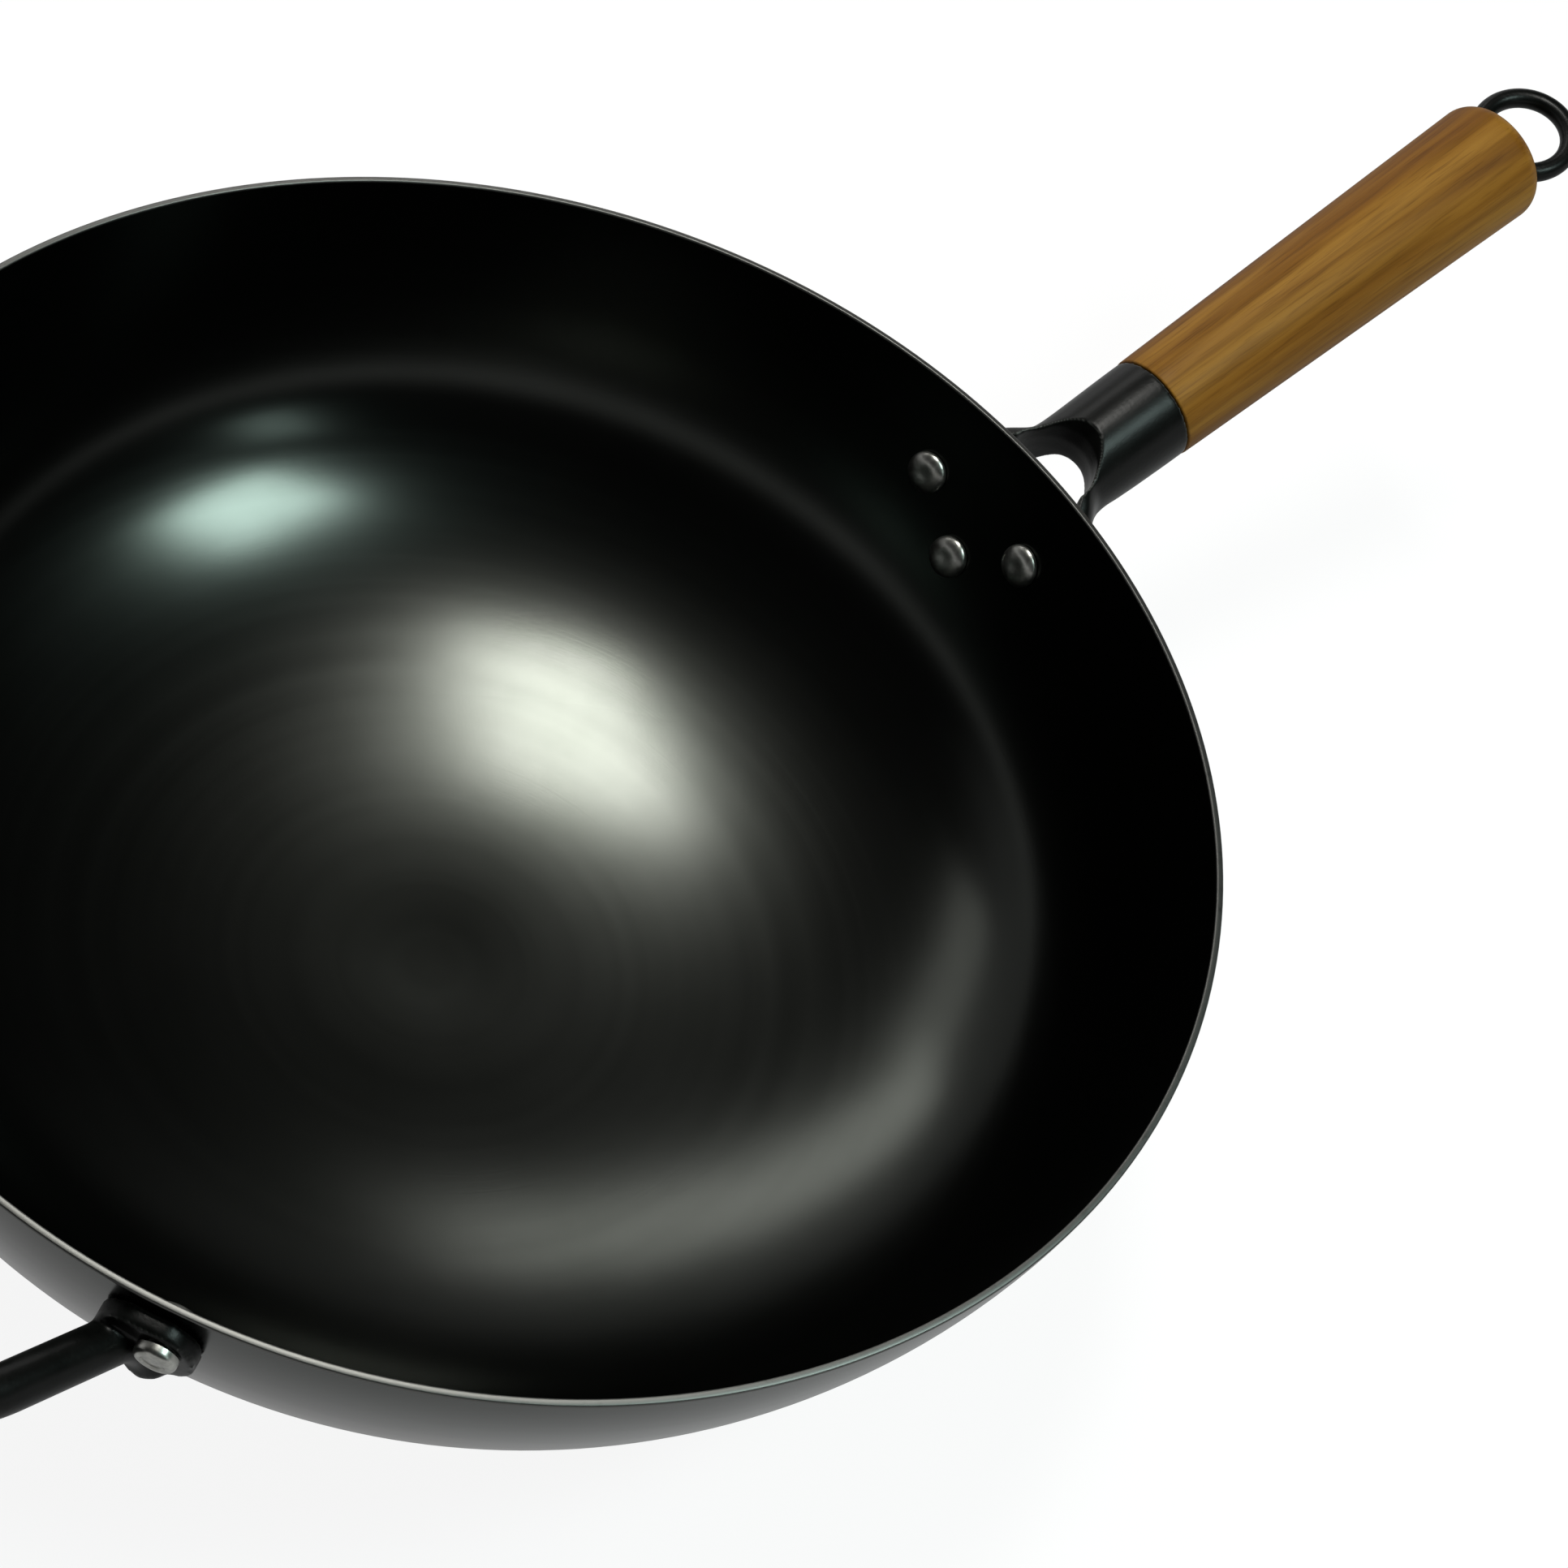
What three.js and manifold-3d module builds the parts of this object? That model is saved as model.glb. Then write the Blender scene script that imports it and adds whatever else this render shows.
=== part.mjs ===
import * as THREE from 'three';
import { mergeVertices } from 'three/addons/utils/BufferGeometryUtils.js';
import Module from 'manifold-3d';

const wasm = await Module();
wasm.setup();

// Flat-bottomed wok. Millimetres, base on z = 0, long handle along +X.

// Bowl: outer skin of one spun sheet, flat base, knuckle, then a steep upper wall.
const rimRadius = 160;
const sheet = 1.6;
const rimSlope = 84;
const shoulderSlope = 62;
const upperRadius = 147;
const knuckleRadius = 86;
const turnSteps = 84;
const kneeSteps = 7;
const upperSteps = 5;
const fit = 0.3;
const cutMargin = 30;

// Long handle: axis height at the rim radius, rise of the axis, stations along it.
const handleDrop = 31.95;
const handleAngle = 17.08;
const neckStation = 28;
const jointStation = 57.7;
const neckRadius = 13.35;
const ferruleRadius = 13.8;
const ferruleEdge = 0.4;
const legFlare = 14;
const legSpread = 1.484;
const legOnset = 9;
const legThickness = 5.4;
const legTop = 10.4;
const legTopAtWall = 3.6;
const legFoot = -12;
const legFootAtWall = -14;
const forkStart = -22;
const legTopFrom = 2;
const legTopTo = 16;
const legFootFrom = -10;
const legFootTo = 22;
const roundTopFrom = 16;
const roundTopTo = 34;
const roundFootFrom = 28.5;
const roundFootTo = 35.5;
const sectionFrom = 20;
const sectionTo = 32;
const sectionPower = 4.2;
const scoopRise = 13.5;
const scoopFrom = 30;
const scoopTo = 42;
const crotchStation = 34.1;
const crotchLength = 12.5;
const crotchFrom = -30;
const crotchHeight = 44;
const crotchLean = 0.55;
const crotchLeanDepth = 6;
const crotchLipRise = 3;
const padThickness = 3.4;
const padCorner = 9;
const padLowerHalf = 14;

// Rivets: shank, factory head inside the bowl, upset end outside.
const shankRadius = 3;
const headRadius = 5.25;
const headRise = 2.7;
const headEdge = 0.5;
const upsetRadius = 4.4;
const upsetRise = 2.6;
const upperRivetDepth = 23;
const upperRivetOffset = 17.22;
const lowerRivetDepth = 36;

// Wooden grip: turned cone with a tenon, a through bore and a dished end.
const tenonRadius = 10;
const tenonLength = 11.4;
const gripStartRadius = 14;
const gripTaper = 0.0209;
const gripLength = 121.5;
const gripEndRound = 5.8;
const boreRadius = 3.4;
const dishGap = 0.4;
const seatDepth = 2.4;

// Hanging eye: ring, collar and long tie rod in one piece.
const eyeStation = 195;
const eyeRadius = 12.2;
const eyeWire = 2.62;
const rodRadius = 3;
const rodEngaged = 6.2;
const collarRadius = 5.8;
const collarHeight = 3.6;
const rodOverlap = 1;

// Helper handle: bent round bar with two riveted feet, opposite the long handle.
const barRadius = 4.8;
const legOffset = 67.6;
const legDepth = 15.5;
const loopAngle = 19.2;
const loopReach = 64;
const loopCorner = 32;
const footThickness = 4;
const footOffset = 70.06;
const footWidth = 20.4;
const footTopDepth = 2.6;
const footBottomDepth = 22.5;
const footCorner = 5;
const helperRivetOffset = 73.35;
const helperRivetDepth = 8.5;
const spotGap = 0.5;
const barLead = 12;

const radians = Math.PI / 180;
const sine = (degrees) => Math.sin(degrees * radians);
const cosine = (degrees) => Math.cos(degrees * radians);

const baseRadius = rimRadius - upperRadius * (sine(rimSlope) - sine(shoulderSlope))
  - knuckleRadius * sine(shoulderSlope);
const shoulderHeight = knuckleRadius * (1 - cosine(shoulderSlope));
const rimHeight = shoulderHeight + upperRadius * (cosine(shoulderSlope) - cosine(rimSlope));

// Point of the wall where its slope has the given angle, moved out along its normal.
function wallPoint(slope, out) {
  const low = Math.min(slope, shoulderSlope);
  let radius = baseRadius + knuckleRadius * sine(low);
  let height = knuckleRadius * (1 - cosine(low));
  if (slope > shoulderSlope) {
    radius += upperRadius * (sine(slope) - sine(shoulderSlope));
    height += upperRadius * (cosine(shoulderSlope) - cosine(slope));
  }
  return new THREE.Vector2(radius + out * sine(slope), height - out * cosine(slope));
}

function slopeAtDepth(depth) {
  return Math.acos(cosine(rimSlope) + depth / upperRadius) / radians;
}

// Angle about the bowl's axis at which the wall lies this far to one side of it.
function angleAt(offset, depth) {
  return Math.asin(offset / wallPoint(slopeAtDepth(depth), 0).x) / radians;
}

function wallLine(out, lowCount, highCount) {
  const line = [];
  for (let i = 0; i <= lowCount; i += 1) {
    line.push(wallPoint((shoulderSlope * i) / lowCount, out));
  }
  for (let i = 1; i <= highCount; i += 1) {
    line.push(wallPoint(shoulderSlope + ((rimSlope - shoulderSlope) * i) / highCount, out));
  }
  return line;
}

// A closed three.js geometry as a solid body with its faces pointing out.
function solid(source) {
  const bare = source.clone();
  bare.deleteAttribute('normal');
  bare.deleteAttribute('uv');
  const merged = mergeVertices(bare, 1e-3);
  const position = merged.attributes.position;
  const index = merged.index.array;
  const faces = [];
  const a = new THREE.Vector3();
  const b = new THREE.Vector3();
  const c = new THREE.Vector3();
  let volume = 0;
  for (let i = 0; i < index.length; i += 3) {
    const [p, q, r] = [index[i], index[i + 1], index[i + 2]];
    if (p !== q && q !== r && r !== p) {
      faces.push([p, q, r]);
      a.fromBufferAttribute(position, p);
      b.fromBufferAttribute(position, q);
      c.fromBufferAttribute(position, r);
      volume += a.dot(b.cross(c));
    }
  }
  const turned = volume < 0 ? faces.map(([p, q, r]) => [p, r, q]) : faces;
  return new wasm.Manifold(new wasm.Mesh({
    numProp: 3,
    vertProperties: new Float32Array(position.array),
    triVerts: new Uint32Array(turned.flat()),
  }));
}

// Solid of revolution about +Z from (radius, height) points.
function turnedBody(points, steps) {
  const shape = new THREE.LatheGeometry(points, steps);
  shape.rotateX(Math.PI / 2);
  return shape;
}

// Everything inside the bowl's outer skin moved out by the given amount.
function bowlBlock(out, lift) {
  const line = wallLine(out, kneeSteps, upperSteps);
  const top = line[line.length - 1];
  const first = line[0];
  return solid(turnedBody([
    new THREE.Vector2(0, first.y),
    ...line,
    new THREE.Vector2(top.x + lift * cosine(rimSlope), top.y + lift),
    new THREE.Vector2(0, top.y + lift),
  ], turnSteps));
}

// Frame on the outer wall: origin on the skin, third axis along the outward normal.
function wallFrame(angle, depth) {
  const slope = slopeAtDepth(depth);
  const point = wallPoint(slope, 0);
  const along = new THREE.Vector3(-sine(angle), cosine(angle), 0);
  const out = new THREE.Vector3(
    sine(slope) * cosine(angle),
    sine(slope) * sine(angle),
    -cosine(slope),
  );
  const up = new THREE.Vector3().crossVectors(out, along);
  const place = new THREE.Matrix4().makeBasis(along, up, out);
  place.setPosition(point.x * cosine(angle), point.x * sine(angle), point.y);
  return place;
}

// Frame of the long handle: first axis across, second up, third along the axis.
const handleOrigin = new THREE.Vector3(rimRadius, 0, rimHeight - handleDrop);
const handleAcross = new THREE.Vector3(0, 1, 0);
const handleAlong = new THREE.Vector3(cosine(handleAngle), 0, sine(handleAngle));
const handleUp = new THREE.Vector3(-sine(handleAngle), 0, cosine(handleAngle));
const handleFrame = new THREE.Matrix4().makeBasis(handleAcross.negate(), handleUp, handleAlong);
handleFrame.setPosition(handleOrigin);

// Convex outline with every corner rounded about the given centres.
function roundedOutline(centres, radius) {
  const shape = new THREE.Shape();
  const count = centres.length;
  const heading = (from, to) => Math.atan2(to.y - from.y, to.x - from.x) - Math.PI / 2;
  centres.forEach((centre, i) => {
    const before = centres[(i + count - 1) % count];
    const after = centres[(i + 1) % count];
    shape.absarc(centre.x, centre.y, radius, heading(before, centre), heading(centre, after), false);
  });
  shape.closePath();
  return shape;
}

function plainExtrude(shape, depth, curveSegments) {
  return new THREE.ExtrudeGeometry(shape, { depth, bevelEnabled: false, curveSegments });
}

// Piece of plate lying on the outer wall, cut to an outline seen along the wall's normal.
function wallPlate(frame, outline, thickness) {
  const reach = thickness * 6;
  const prism = plainExtrude(outline, reach * 2, 3);
  prism.translate(0, 0, -reach);
  prism.applyMatrix4(frame);
  const band = bowlBlock(fit + thickness, fit).subtract(bowlBlock(fit, thickness));
  return band.intersect(solid(prism));
}

function cylinderAlong(frame, radius, from, to, steps) {
  const body = new THREE.CylinderGeometry(radius, radius, to - from, steps);
  body.rotateX(Math.PI / 2);
  body.translate(0, 0, (from + to) / 2);
  body.applyMatrix4(frame);
  return solid(body);
}

function rivetHole(frame) {
  return cylinderAlong(frame, shankRadius + fit, -sheet * 4, padThickness * 4, 16);
}

// Rivet through the sheet and a plate of the given thickness.
function rivet(frame, plate) {
  const headSeat = -sheet - fit;
  const upsetSeat = fit + plate + fit;
  const line = [];
  const domeSteps = 4;
  for (let i = 0; i <= domeSteps; i += 1) {
    const angle = (90 * i) / domeSteps;
    const rise = headEdge + (headRise - headEdge) * cosine(angle);
    line.push(new THREE.Vector2(headRadius * sine(angle), headSeat - rise));
  }
  line[0].x = 0;
  line.push(new THREE.Vector2(headRadius, headSeat));
  line.push(new THREE.Vector2(shankRadius, headSeat));
  line.push(new THREE.Vector2(shankRadius, upsetSeat));
  line.push(new THREE.Vector2(upsetRadius, upsetSeat));
  const flatSteps = 2;
  for (let i = 0; i <= flatSteps; i += 1) {
    const angle = (90 * i) / flatSteps;
    const crown = upsetRise * (0.45 + 0.55 * sine(angle));
    line.push(new THREE.Vector2(upsetRadius * (0.6 + 0.4 * cosine(angle)), upsetSeat + crown));
  }
  line.push(new THREE.Vector2(0, upsetSeat + upsetRise));
  const body = turnedBody(line, 16);
  body.applyMatrix4(frame);
  return solid(body);
}

// Bowl: one sheet of even thickness with a rounded rim edge and the rivet holes.
function makeBowl() {
  const outer = wallLine(0, kneeSteps, upperSteps);
  const inner = wallLine(-sheet, kneeSteps, upperSteps).reverse();
  const edge = [];
  const middle = wallPoint(rimSlope, -sheet / 2);
  const edgeSteps = 4;
  for (let i = 1; i < edgeSteps; i += 1) {
    const turn = (180 * i) / edgeSteps;
    const across = (sheet / 2) * cosine(turn);
    const ahead = (sheet / 2) * sine(turn);
    edge.push(new THREE.Vector2(
      middle.x + across * sine(rimSlope) + ahead * cosine(rimSlope),
      middle.y - across * cosine(rimSlope) + ahead * sine(rimSlope),
    ));
  }
  const line = [
    new THREE.Vector2(0, 0),
    ...outer,
    ...edge,
    ...inner,
    new THREE.Vector2(0, sheet),
  ];
  let body = solid(turnedBody(line, turnSteps));
  rivetFrames.forEach((frame) => {
    body = body.subtract(rivetHole(frame));
  });
  return body;
}

const ease = (from, to, value) => {
  const share = Math.min(Math.max((value - from) / (to - from), 0), 1);
  return share * share * (3 - 2 * share);
};
const between = (from, to, share) => from + (to - from) * share;

// Half width of the bracket across the handle at a station along its axis.
function bracketHalf(station) {
  if (station >= neckStation) {
    return between(neckRadius, ferruleRadius, ease(neckStation, jointStation, station));
  }
  const past = neckStation - station;
  const spread = (legSpread * past * past) / (past + legOnset);
  return neckRadius + legFlare * (1 - Math.exp(-spread / legFlare));
}

function bracketTop(station) {
  const round = bracketHalf(Math.max(station, neckStation));
  const onLegs = between(legTopAtWall, legTop, ease(legTopFrom, legTopTo, station));
  return between(onLegs, round, ease(roundTopFrom, roundTopTo, station));
}

function bracketFoot(station) {
  const round = -bracketHalf(Math.max(station, neckStation));
  const onLegs = between(legFootAtWall, legFoot, ease(legFootFrom, legFootTo, station));
  return between(onLegs, round, ease(roundFootFrom, roundFootTo, station));
}

// Outer form of the bracket: round ferrule easing into a wide fork, scooped out below.
function bracketForm() {
  const length = jointStation - forkStart;
  const form = new THREE.CylinderGeometry(1, 1, length, 36, 30);
  form.rotateX(Math.PI / 2);
  const position = form.attributes.position;
  for (let i = 0; i < position.count; i += 1) {
    const x = position.getX(i);
    const y = position.getY(i);
    const station = position.getZ(i) + length / 2 + forkStart;
    const edge = station > jointStation - 1e-3 ? ferruleEdge : 0;
    const power = between(2 / sectionPower, 1, ease(sectionFrom, sectionTo, station));
    const top = bracketTop(station) - edge;
    const foot = bracketFoot(station) + edge;
    const half = bracketHalf(station) - edge;
    const middle = (top + foot) / 2;
    const across = half * Math.sign(x) * Math.abs(x) ** power;
    const rise = Math.abs(y) ** power;
    const scoop = scoopRise * (1 - ease(scoopFrom, scoopTo, station)) * (1 - (across / half) ** 2);
    const up = y > 0 ? middle + ((top - foot) / 2) * rise : middle + (scoop - (top - foot) / 2) * rise;
    position.setXYZ(i, across, up, station);
  }
  return form;
}

// Opening between the two legs; its wall leans towards the bowl, most of all under the upper lip.
function crotchOpening() {
  const shape = new THREE.Shape();
  const centre = crotchStation - crotchLength;
  const half = bracketHalf(centre) - legThickness;
  const steps = 8;
  const side = [];
  for (let i = 0; i <= steps; i += 1) {
    const station = between(crotchFrom, centre, i / steps);
    side.push(new THREE.Vector2(bracketHalf(station) - legThickness, station));
  }
  for (let i = 1; i < steps; i += 1) {
    const angle = (90 * i) / steps;
    side.push(new THREE.Vector2(half * cosine(angle), centre + crotchLength * sine(angle)));
  }
  shape.moveTo(side[0].x, side[0].y);
  side.slice(1).forEach((point) => shape.lineTo(point.x, point.y));
  shape.lineTo(0, crotchStation);
  side.slice().reverse().forEach((point) => shape.lineTo(-point.x, point.y));
  const opening = new THREE.ExtrudeGeometry(shape, { depth: crotchHeight, steps: 11, bevelEnabled: false });
  opening.translate(0, 0, -crotchHeight / 2);
  const position = opening.attributes.position;
  for (let i = 0; i < position.count; i += 1) {
    const level = position.getZ(i);
    const below = Math.max(legTop - level, -crotchLipRise);
    const lean = crotchLean * crotchLeanDepth * (1 - Math.exp(-below / crotchLeanDepth));
    position.setXYZ(i, position.getX(i), level, position.getY(i) - lean);
  }
  return opening;
}

const padFrame = wallFrame(0, (upperRivetDepth + lowerRivetDepth) / 2);
const padHeight = (lowerRivetDepth - upperRivetDepth) / sine(slopeAtDepth(upperRivetDepth)) / 2;
const upperRivetAngle = angleAt(upperRivetOffset, upperRivetDepth);
const helperRivetAngle = angleAt(helperRivetOffset, helperRivetDepth);
const rivetPlaces = [
  ['handle_rivet_left', upperRivetAngle, upperRivetDepth, padThickness],
  ['handle_rivet_right', -upperRivetAngle, upperRivetDepth, padThickness],
  ['handle_rivet_lower', 0, lowerRivetDepth, padThickness],
  ['helper_rivet_left', 180 - helperRivetAngle, helperRivetDepth, footThickness],
  ['helper_rivet_right', 180 + helperRivetAngle, helperRivetDepth, footThickness],
];
const rivetFrames = rivetPlaces.map(([, angle, depth]) => wallFrame(angle, depth));

const tenonFloor = jointStation - tenonLength - fit;
const rodEnd = tenonFloor - rodEngaged;

// Handle bracket: ferrule, forked legs and riveting pad in one piece.
function makeBracket() {
  const form = bracketForm().applyMatrix4(handleFrame);
  const opening = crotchOpening().applyMatrix4(handleFrame);
  const pad = wallPlate(padFrame, roundedOutline([
    new THREE.Vector2(-padLowerHalf, -padHeight),
    new THREE.Vector2(padLowerHalf, -padHeight),
    new THREE.Vector2(upperRivetOffset, padHeight),
    new THREE.Vector2(-upperRivetOffset, padHeight),
  ], padCorner), padThickness);
  let body = solid(form).subtract(solid(opening));
  body = body.subtract(bowlBlock(fit, cutMargin));
  body = body.add(pad);
  body = body.subtract(cylinderAlong(handleFrame, tenonRadius + fit, tenonFloor, jointStation + tenonRadius, 32));
  body = body.subtract(cylinderAlong(handleFrame, rodRadius + fit, rodEnd - fit, tenonFloor + rodOverlap, 24));
  rivetFrames.slice(0, 3).forEach((frame) => {
    body = body.subtract(rivetHole(frame));
  });
  return body;
}

const gripEnd = jointStation + fit + gripLength;
const gripEndRadius = gripStartRadius + gripTaper * gripLength;
const dishRadius = eyeRadius + eyeWire + dishGap;
const seatRadius = collarRadius + dishGap;
const seatStation = eyeStation - Math.sqrt(dishRadius ** 2 - seatRadius ** 2) - seatDepth;

// Grip: turned on the bore, tenon in the ferrule, end dished to bed the eye.
function makeGrip() {
  const start = jointStation + fit;
  const line = [
    new THREE.Vector2(boreRadius, start - tenonLength),
    new THREE.Vector2(tenonRadius, start - tenonLength),
    new THREE.Vector2(tenonRadius, start),
    new THREE.Vector2(gripStartRadius - fit, start),
    new THREE.Vector2(gripStartRadius, start + fit),
  ];
  const coneSteps = 2;
  for (let i = 1; i <= coneSteps; i += 1) {
    const along = (gripLength * i) / coneSteps;
    line.push(new THREE.Vector2(gripStartRadius + gripTaper * along, start + along));
  }
  const roundCentre = gripEndRadius - gripEndRound;
  const roundSteps = 18;
  let lip = line[line.length - 1];
  for (let i = 1; i <= roundSteps; i += 1) {
    const angle = (90 * i) / roundSteps;
    const point = new THREE.Vector2(
      roundCentre + gripEndRound * cosine(angle),
      gripEnd + gripEndRound * sine(angle),
    );
    if (Math.hypot(point.x, eyeStation - point.y) > dishRadius) {
      lip = point;
      if (i % 3 === 0) {
        line.push(point);
      }
    }
  }
  const lipAngle = Math.atan2(lip.x, eyeStation - lip.y);
  const seatAngle = Math.asin(seatRadius / dishRadius);
  const dishSteps = 4;
  for (let i = 0; i <= dishSteps; i += 1) {
    const angle = between(lipAngle, seatAngle, i / dishSteps);
    line.push(new THREE.Vector2(dishRadius * Math.sin(angle), eyeStation - dishRadius * Math.cos(angle)));
  }
  line.push(new THREE.Vector2(seatRadius, seatStation));
  line.push(new THREE.Vector2(boreRadius, seatStation));
  line.push(line[0].clone());
  const body = turnedBody(line, 32);
  body.applyMatrix4(handleFrame);
  return solid(body);
}

// Hanging eye: ring in the plane of the handle, collar on the wood, rod into the ferrule.
function makeEye() {
  const section = [];
  const wireSteps = 10;
  for (let i = 0; i <= wireSteps; i += 1) {
    const angle = (360 * i) / wireSteps;
    section.push(new THREE.Vector2(eyeRadius + eyeWire * cosine(angle), eyeWire * sine(angle)));
  }
  section[wireSteps] = section[0].clone();
  const ring = new THREE.LatheGeometry(section, 36);
  ring.translate(0, 0, eyeStation);
  ring.applyMatrix4(handleFrame);
  const collarFrom = seatStation + fit;
  const collar = cylinderAlong(handleFrame, collarRadius, collarFrom, collarFrom + collarHeight, 24);
  const rod = cylinderAlong(handleFrame, rodRadius, rodEnd, collarFrom + rodOverlap, 24);
  return solid(ring).add(collar).add(rod);
}

// Centre line of the helper handle: leg, bend, grip bar, bend, leg.
class HelperLine extends THREE.Curve {
  constructor(half, lead) {
    super();
    this.half = half;
    this.straight = loopReach - loopCorner + lead;
    this.lead = lead;
    this.bend = (loopCorner * Math.PI) / 2;
    this.bar = 2 * (half - loopCorner);
    this.total = 2 * this.straight + 2 * this.bend + this.bar;
  }

  getPoint(share, target = new THREE.Vector3()) {
    const travelled = share * this.total;
    const near = Math.min(travelled, this.total - travelled);
    const side = travelled * 2 < this.total ? 1 : -1;
    let across = this.half;
    let reach = near - this.lead;
    if (near > this.straight) {
      const turn = Math.min((near - this.straight) / loopCorner, Math.PI / 2);
      across = this.half - loopCorner * (1 - Math.cos(turn));
      reach = this.straight - this.lead + loopCorner * Math.sin(turn);
    }
    if (near > this.straight + this.bend) {
      across -= near - this.straight - this.bend;
    }
    return target.set(across * side, reach, 0);
  }
}

// Helper handle: bar ends trimmed to the wall and joined to their feet.
function makeHelper() {
  const section = new THREE.Shape();
  section.absarc(0, 0, barRadius, 0, Math.PI * 2, false);
  const bar = new THREE.ExtrudeGeometry(section, {
    steps: 48,
    curveSegments: 6,
    bevelEnabled: false,
    extrudePath: new HelperLine(legOffset, barLead),
  });
  const wallRadius = wallPoint(slopeAtDepth(legDepth), 0).x;
  const place = new THREE.Matrix4().makeBasis(
    new THREE.Vector3(0, -1, 0),
    new THREE.Vector3(-cosine(loopAngle), 0, sine(loopAngle)),
    new THREE.Vector3(-sine(loopAngle), 0, -cosine(loopAngle)),
  );
  place.setPosition(-Math.sqrt(wallRadius ** 2 - legOffset ** 2), 0, rimHeight - legDepth);
  bar.applyMatrix4(place);
  let body = solid(bar).subtract(bowlBlock(fit, cutMargin));
  const footMiddle = (footTopDepth + footBottomDepth) / 2;
  const footHalf = (footBottomDepth - footTopDepth) / 2 - footCorner;
  const footSide = footWidth / 2 - footCorner;
  const footAngle = angleAt(footOffset, footMiddle);
  [180 - footAngle, 180 + footAngle].forEach((angle) => {
    body = body.add(wallPlate(wallFrame(angle, footMiddle), roundedOutline([
      new THREE.Vector2(-footSide, -footHalf),
      new THREE.Vector2(footSide, -footHalf),
      new THREE.Vector2(footSide, footHalf),
      new THREE.Vector2(-footSide, footHalf),
    ], footCorner), footThickness));
  });
  const spotFloor = fit + footThickness;
  rivetFrames.slice(3).forEach((frame) => {
    const spot = cylinderAlong(frame, upsetRadius + spotGap, spotFloor, spotFloor + upsetRise * 4, 24);
    body = body.subtract(rivetHole(frame)).subtract(spot);
  });
  return body;
}

const group = new THREE.Group();
group.name = 'flat_bottom_wok';

function addNode(name, body, color, roughness, metalness) {
  const data = body.getMesh();
  const shape = new THREE.BufferGeometry();
  shape.setAttribute('position', new THREE.BufferAttribute(new Float32Array(data.vertProperties), 3));
  shape.setIndex(new THREE.BufferAttribute(new Uint32Array(data.triVerts), 1));
  shape.computeVertexNormals();
  const material = new THREE.MeshStandardMaterial({ color, roughness, metalness });
  const mesh = new THREE.Mesh(shape, material);
  mesh.name = name;
  group.add(mesh);
}

addNode('wok_bowl', makeBowl(), 0x1d1f1e, 0.42, 0.85);
addNode('handle_bracket', makeBracket(), 0x151515, 0.5, 0.4);
rivetPlaces.forEach(([name, , , plate], i) => {
  addNode(name, rivet(rivetFrames[i], plate), 0xa5a5a0, 0.35, 0.95);
});
addNode('wood_grip', makeGrip(), 0x9a5a28, 0.4, 0);
addNode('hanging_eye', makeEye(), 0x161616, 0.45, 0.5);
addNode('helper_handle', makeHelper(), 0x141414, 0.5, 0.4);

export default group;
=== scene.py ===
import math

import bpy
from mathutils import Matrix, Vector


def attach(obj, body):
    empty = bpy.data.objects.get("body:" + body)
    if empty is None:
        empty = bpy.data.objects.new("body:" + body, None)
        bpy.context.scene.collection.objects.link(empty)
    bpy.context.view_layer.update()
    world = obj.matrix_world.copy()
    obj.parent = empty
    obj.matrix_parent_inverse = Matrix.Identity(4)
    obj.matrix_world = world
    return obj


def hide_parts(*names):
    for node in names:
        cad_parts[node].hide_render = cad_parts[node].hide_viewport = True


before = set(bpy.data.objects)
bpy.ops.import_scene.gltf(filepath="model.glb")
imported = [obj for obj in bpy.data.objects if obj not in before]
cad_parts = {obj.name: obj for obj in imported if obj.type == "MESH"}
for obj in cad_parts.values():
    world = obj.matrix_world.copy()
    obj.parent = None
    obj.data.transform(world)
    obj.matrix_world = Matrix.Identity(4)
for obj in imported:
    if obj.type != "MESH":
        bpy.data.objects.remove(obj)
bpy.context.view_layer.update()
print("frame loaded:", sorted(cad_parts))

mm = 0.001
fit = 0.3  # gap between pieces that touch on the real wok
seam = 0.000002  # metres, points of a new mesh closer than this become one
slit = 0.00001  # metres, widest slit that is merged after cutting
overlap = 1  # how far a rod or its hole reaches into the next form
quarter = (0, 30, 60, 90)  # degrees round a small edge


# small helpers shared by the pieces

def deselectAll():
    if bpy.context.object and bpy.context.object.mode != "OBJECT":
        bpy.ops.object.mode_set(mode="OBJECT")
    bpy.ops.object.select_all(action="DESELECT")


def useOnly(piece):
    deselectAll()
    piece.select_set(True)
    bpy.context.view_layer.objects.active = piece


def settle(piece, matrix=None):  # place goes into the mesh, object stays at the origin
    useOnly(piece)
    if matrix is not None:
        piece.matrix_world = matrix
    bpy.ops.object.transform_apply(location=True, rotation=True, scale=True)


def applyModifier(piece, kind, **values):
    useOnly(piece)
    modifier = piece.modifiers.new(kind.title(), kind)
    for key, value in values.items():
        setattr(modifier, key, value)
    bpy.ops.object.modifier_apply(modifier=modifier.name)


def combine(piece, other, operation):  # DIFFERENCE, UNION or INTERSECT, then the other one goes
    applyModifier(piece, "BOOLEAN", object=other, operation=operation, solver="EXACT")
    bpy.data.objects.remove(other)


def recalcNormals(piece):
    useOnly(piece)
    bpy.ops.object.mode_set(mode="EDIT")
    bpy.ops.mesh.select_all(action="SELECT")
    bpy.ops.mesh.remove_doubles(threshold=seam)
    bpy.ops.mesh.normals_make_consistent(inside=False)
    bpy.ops.object.mode_set(mode="OBJECT")


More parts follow.
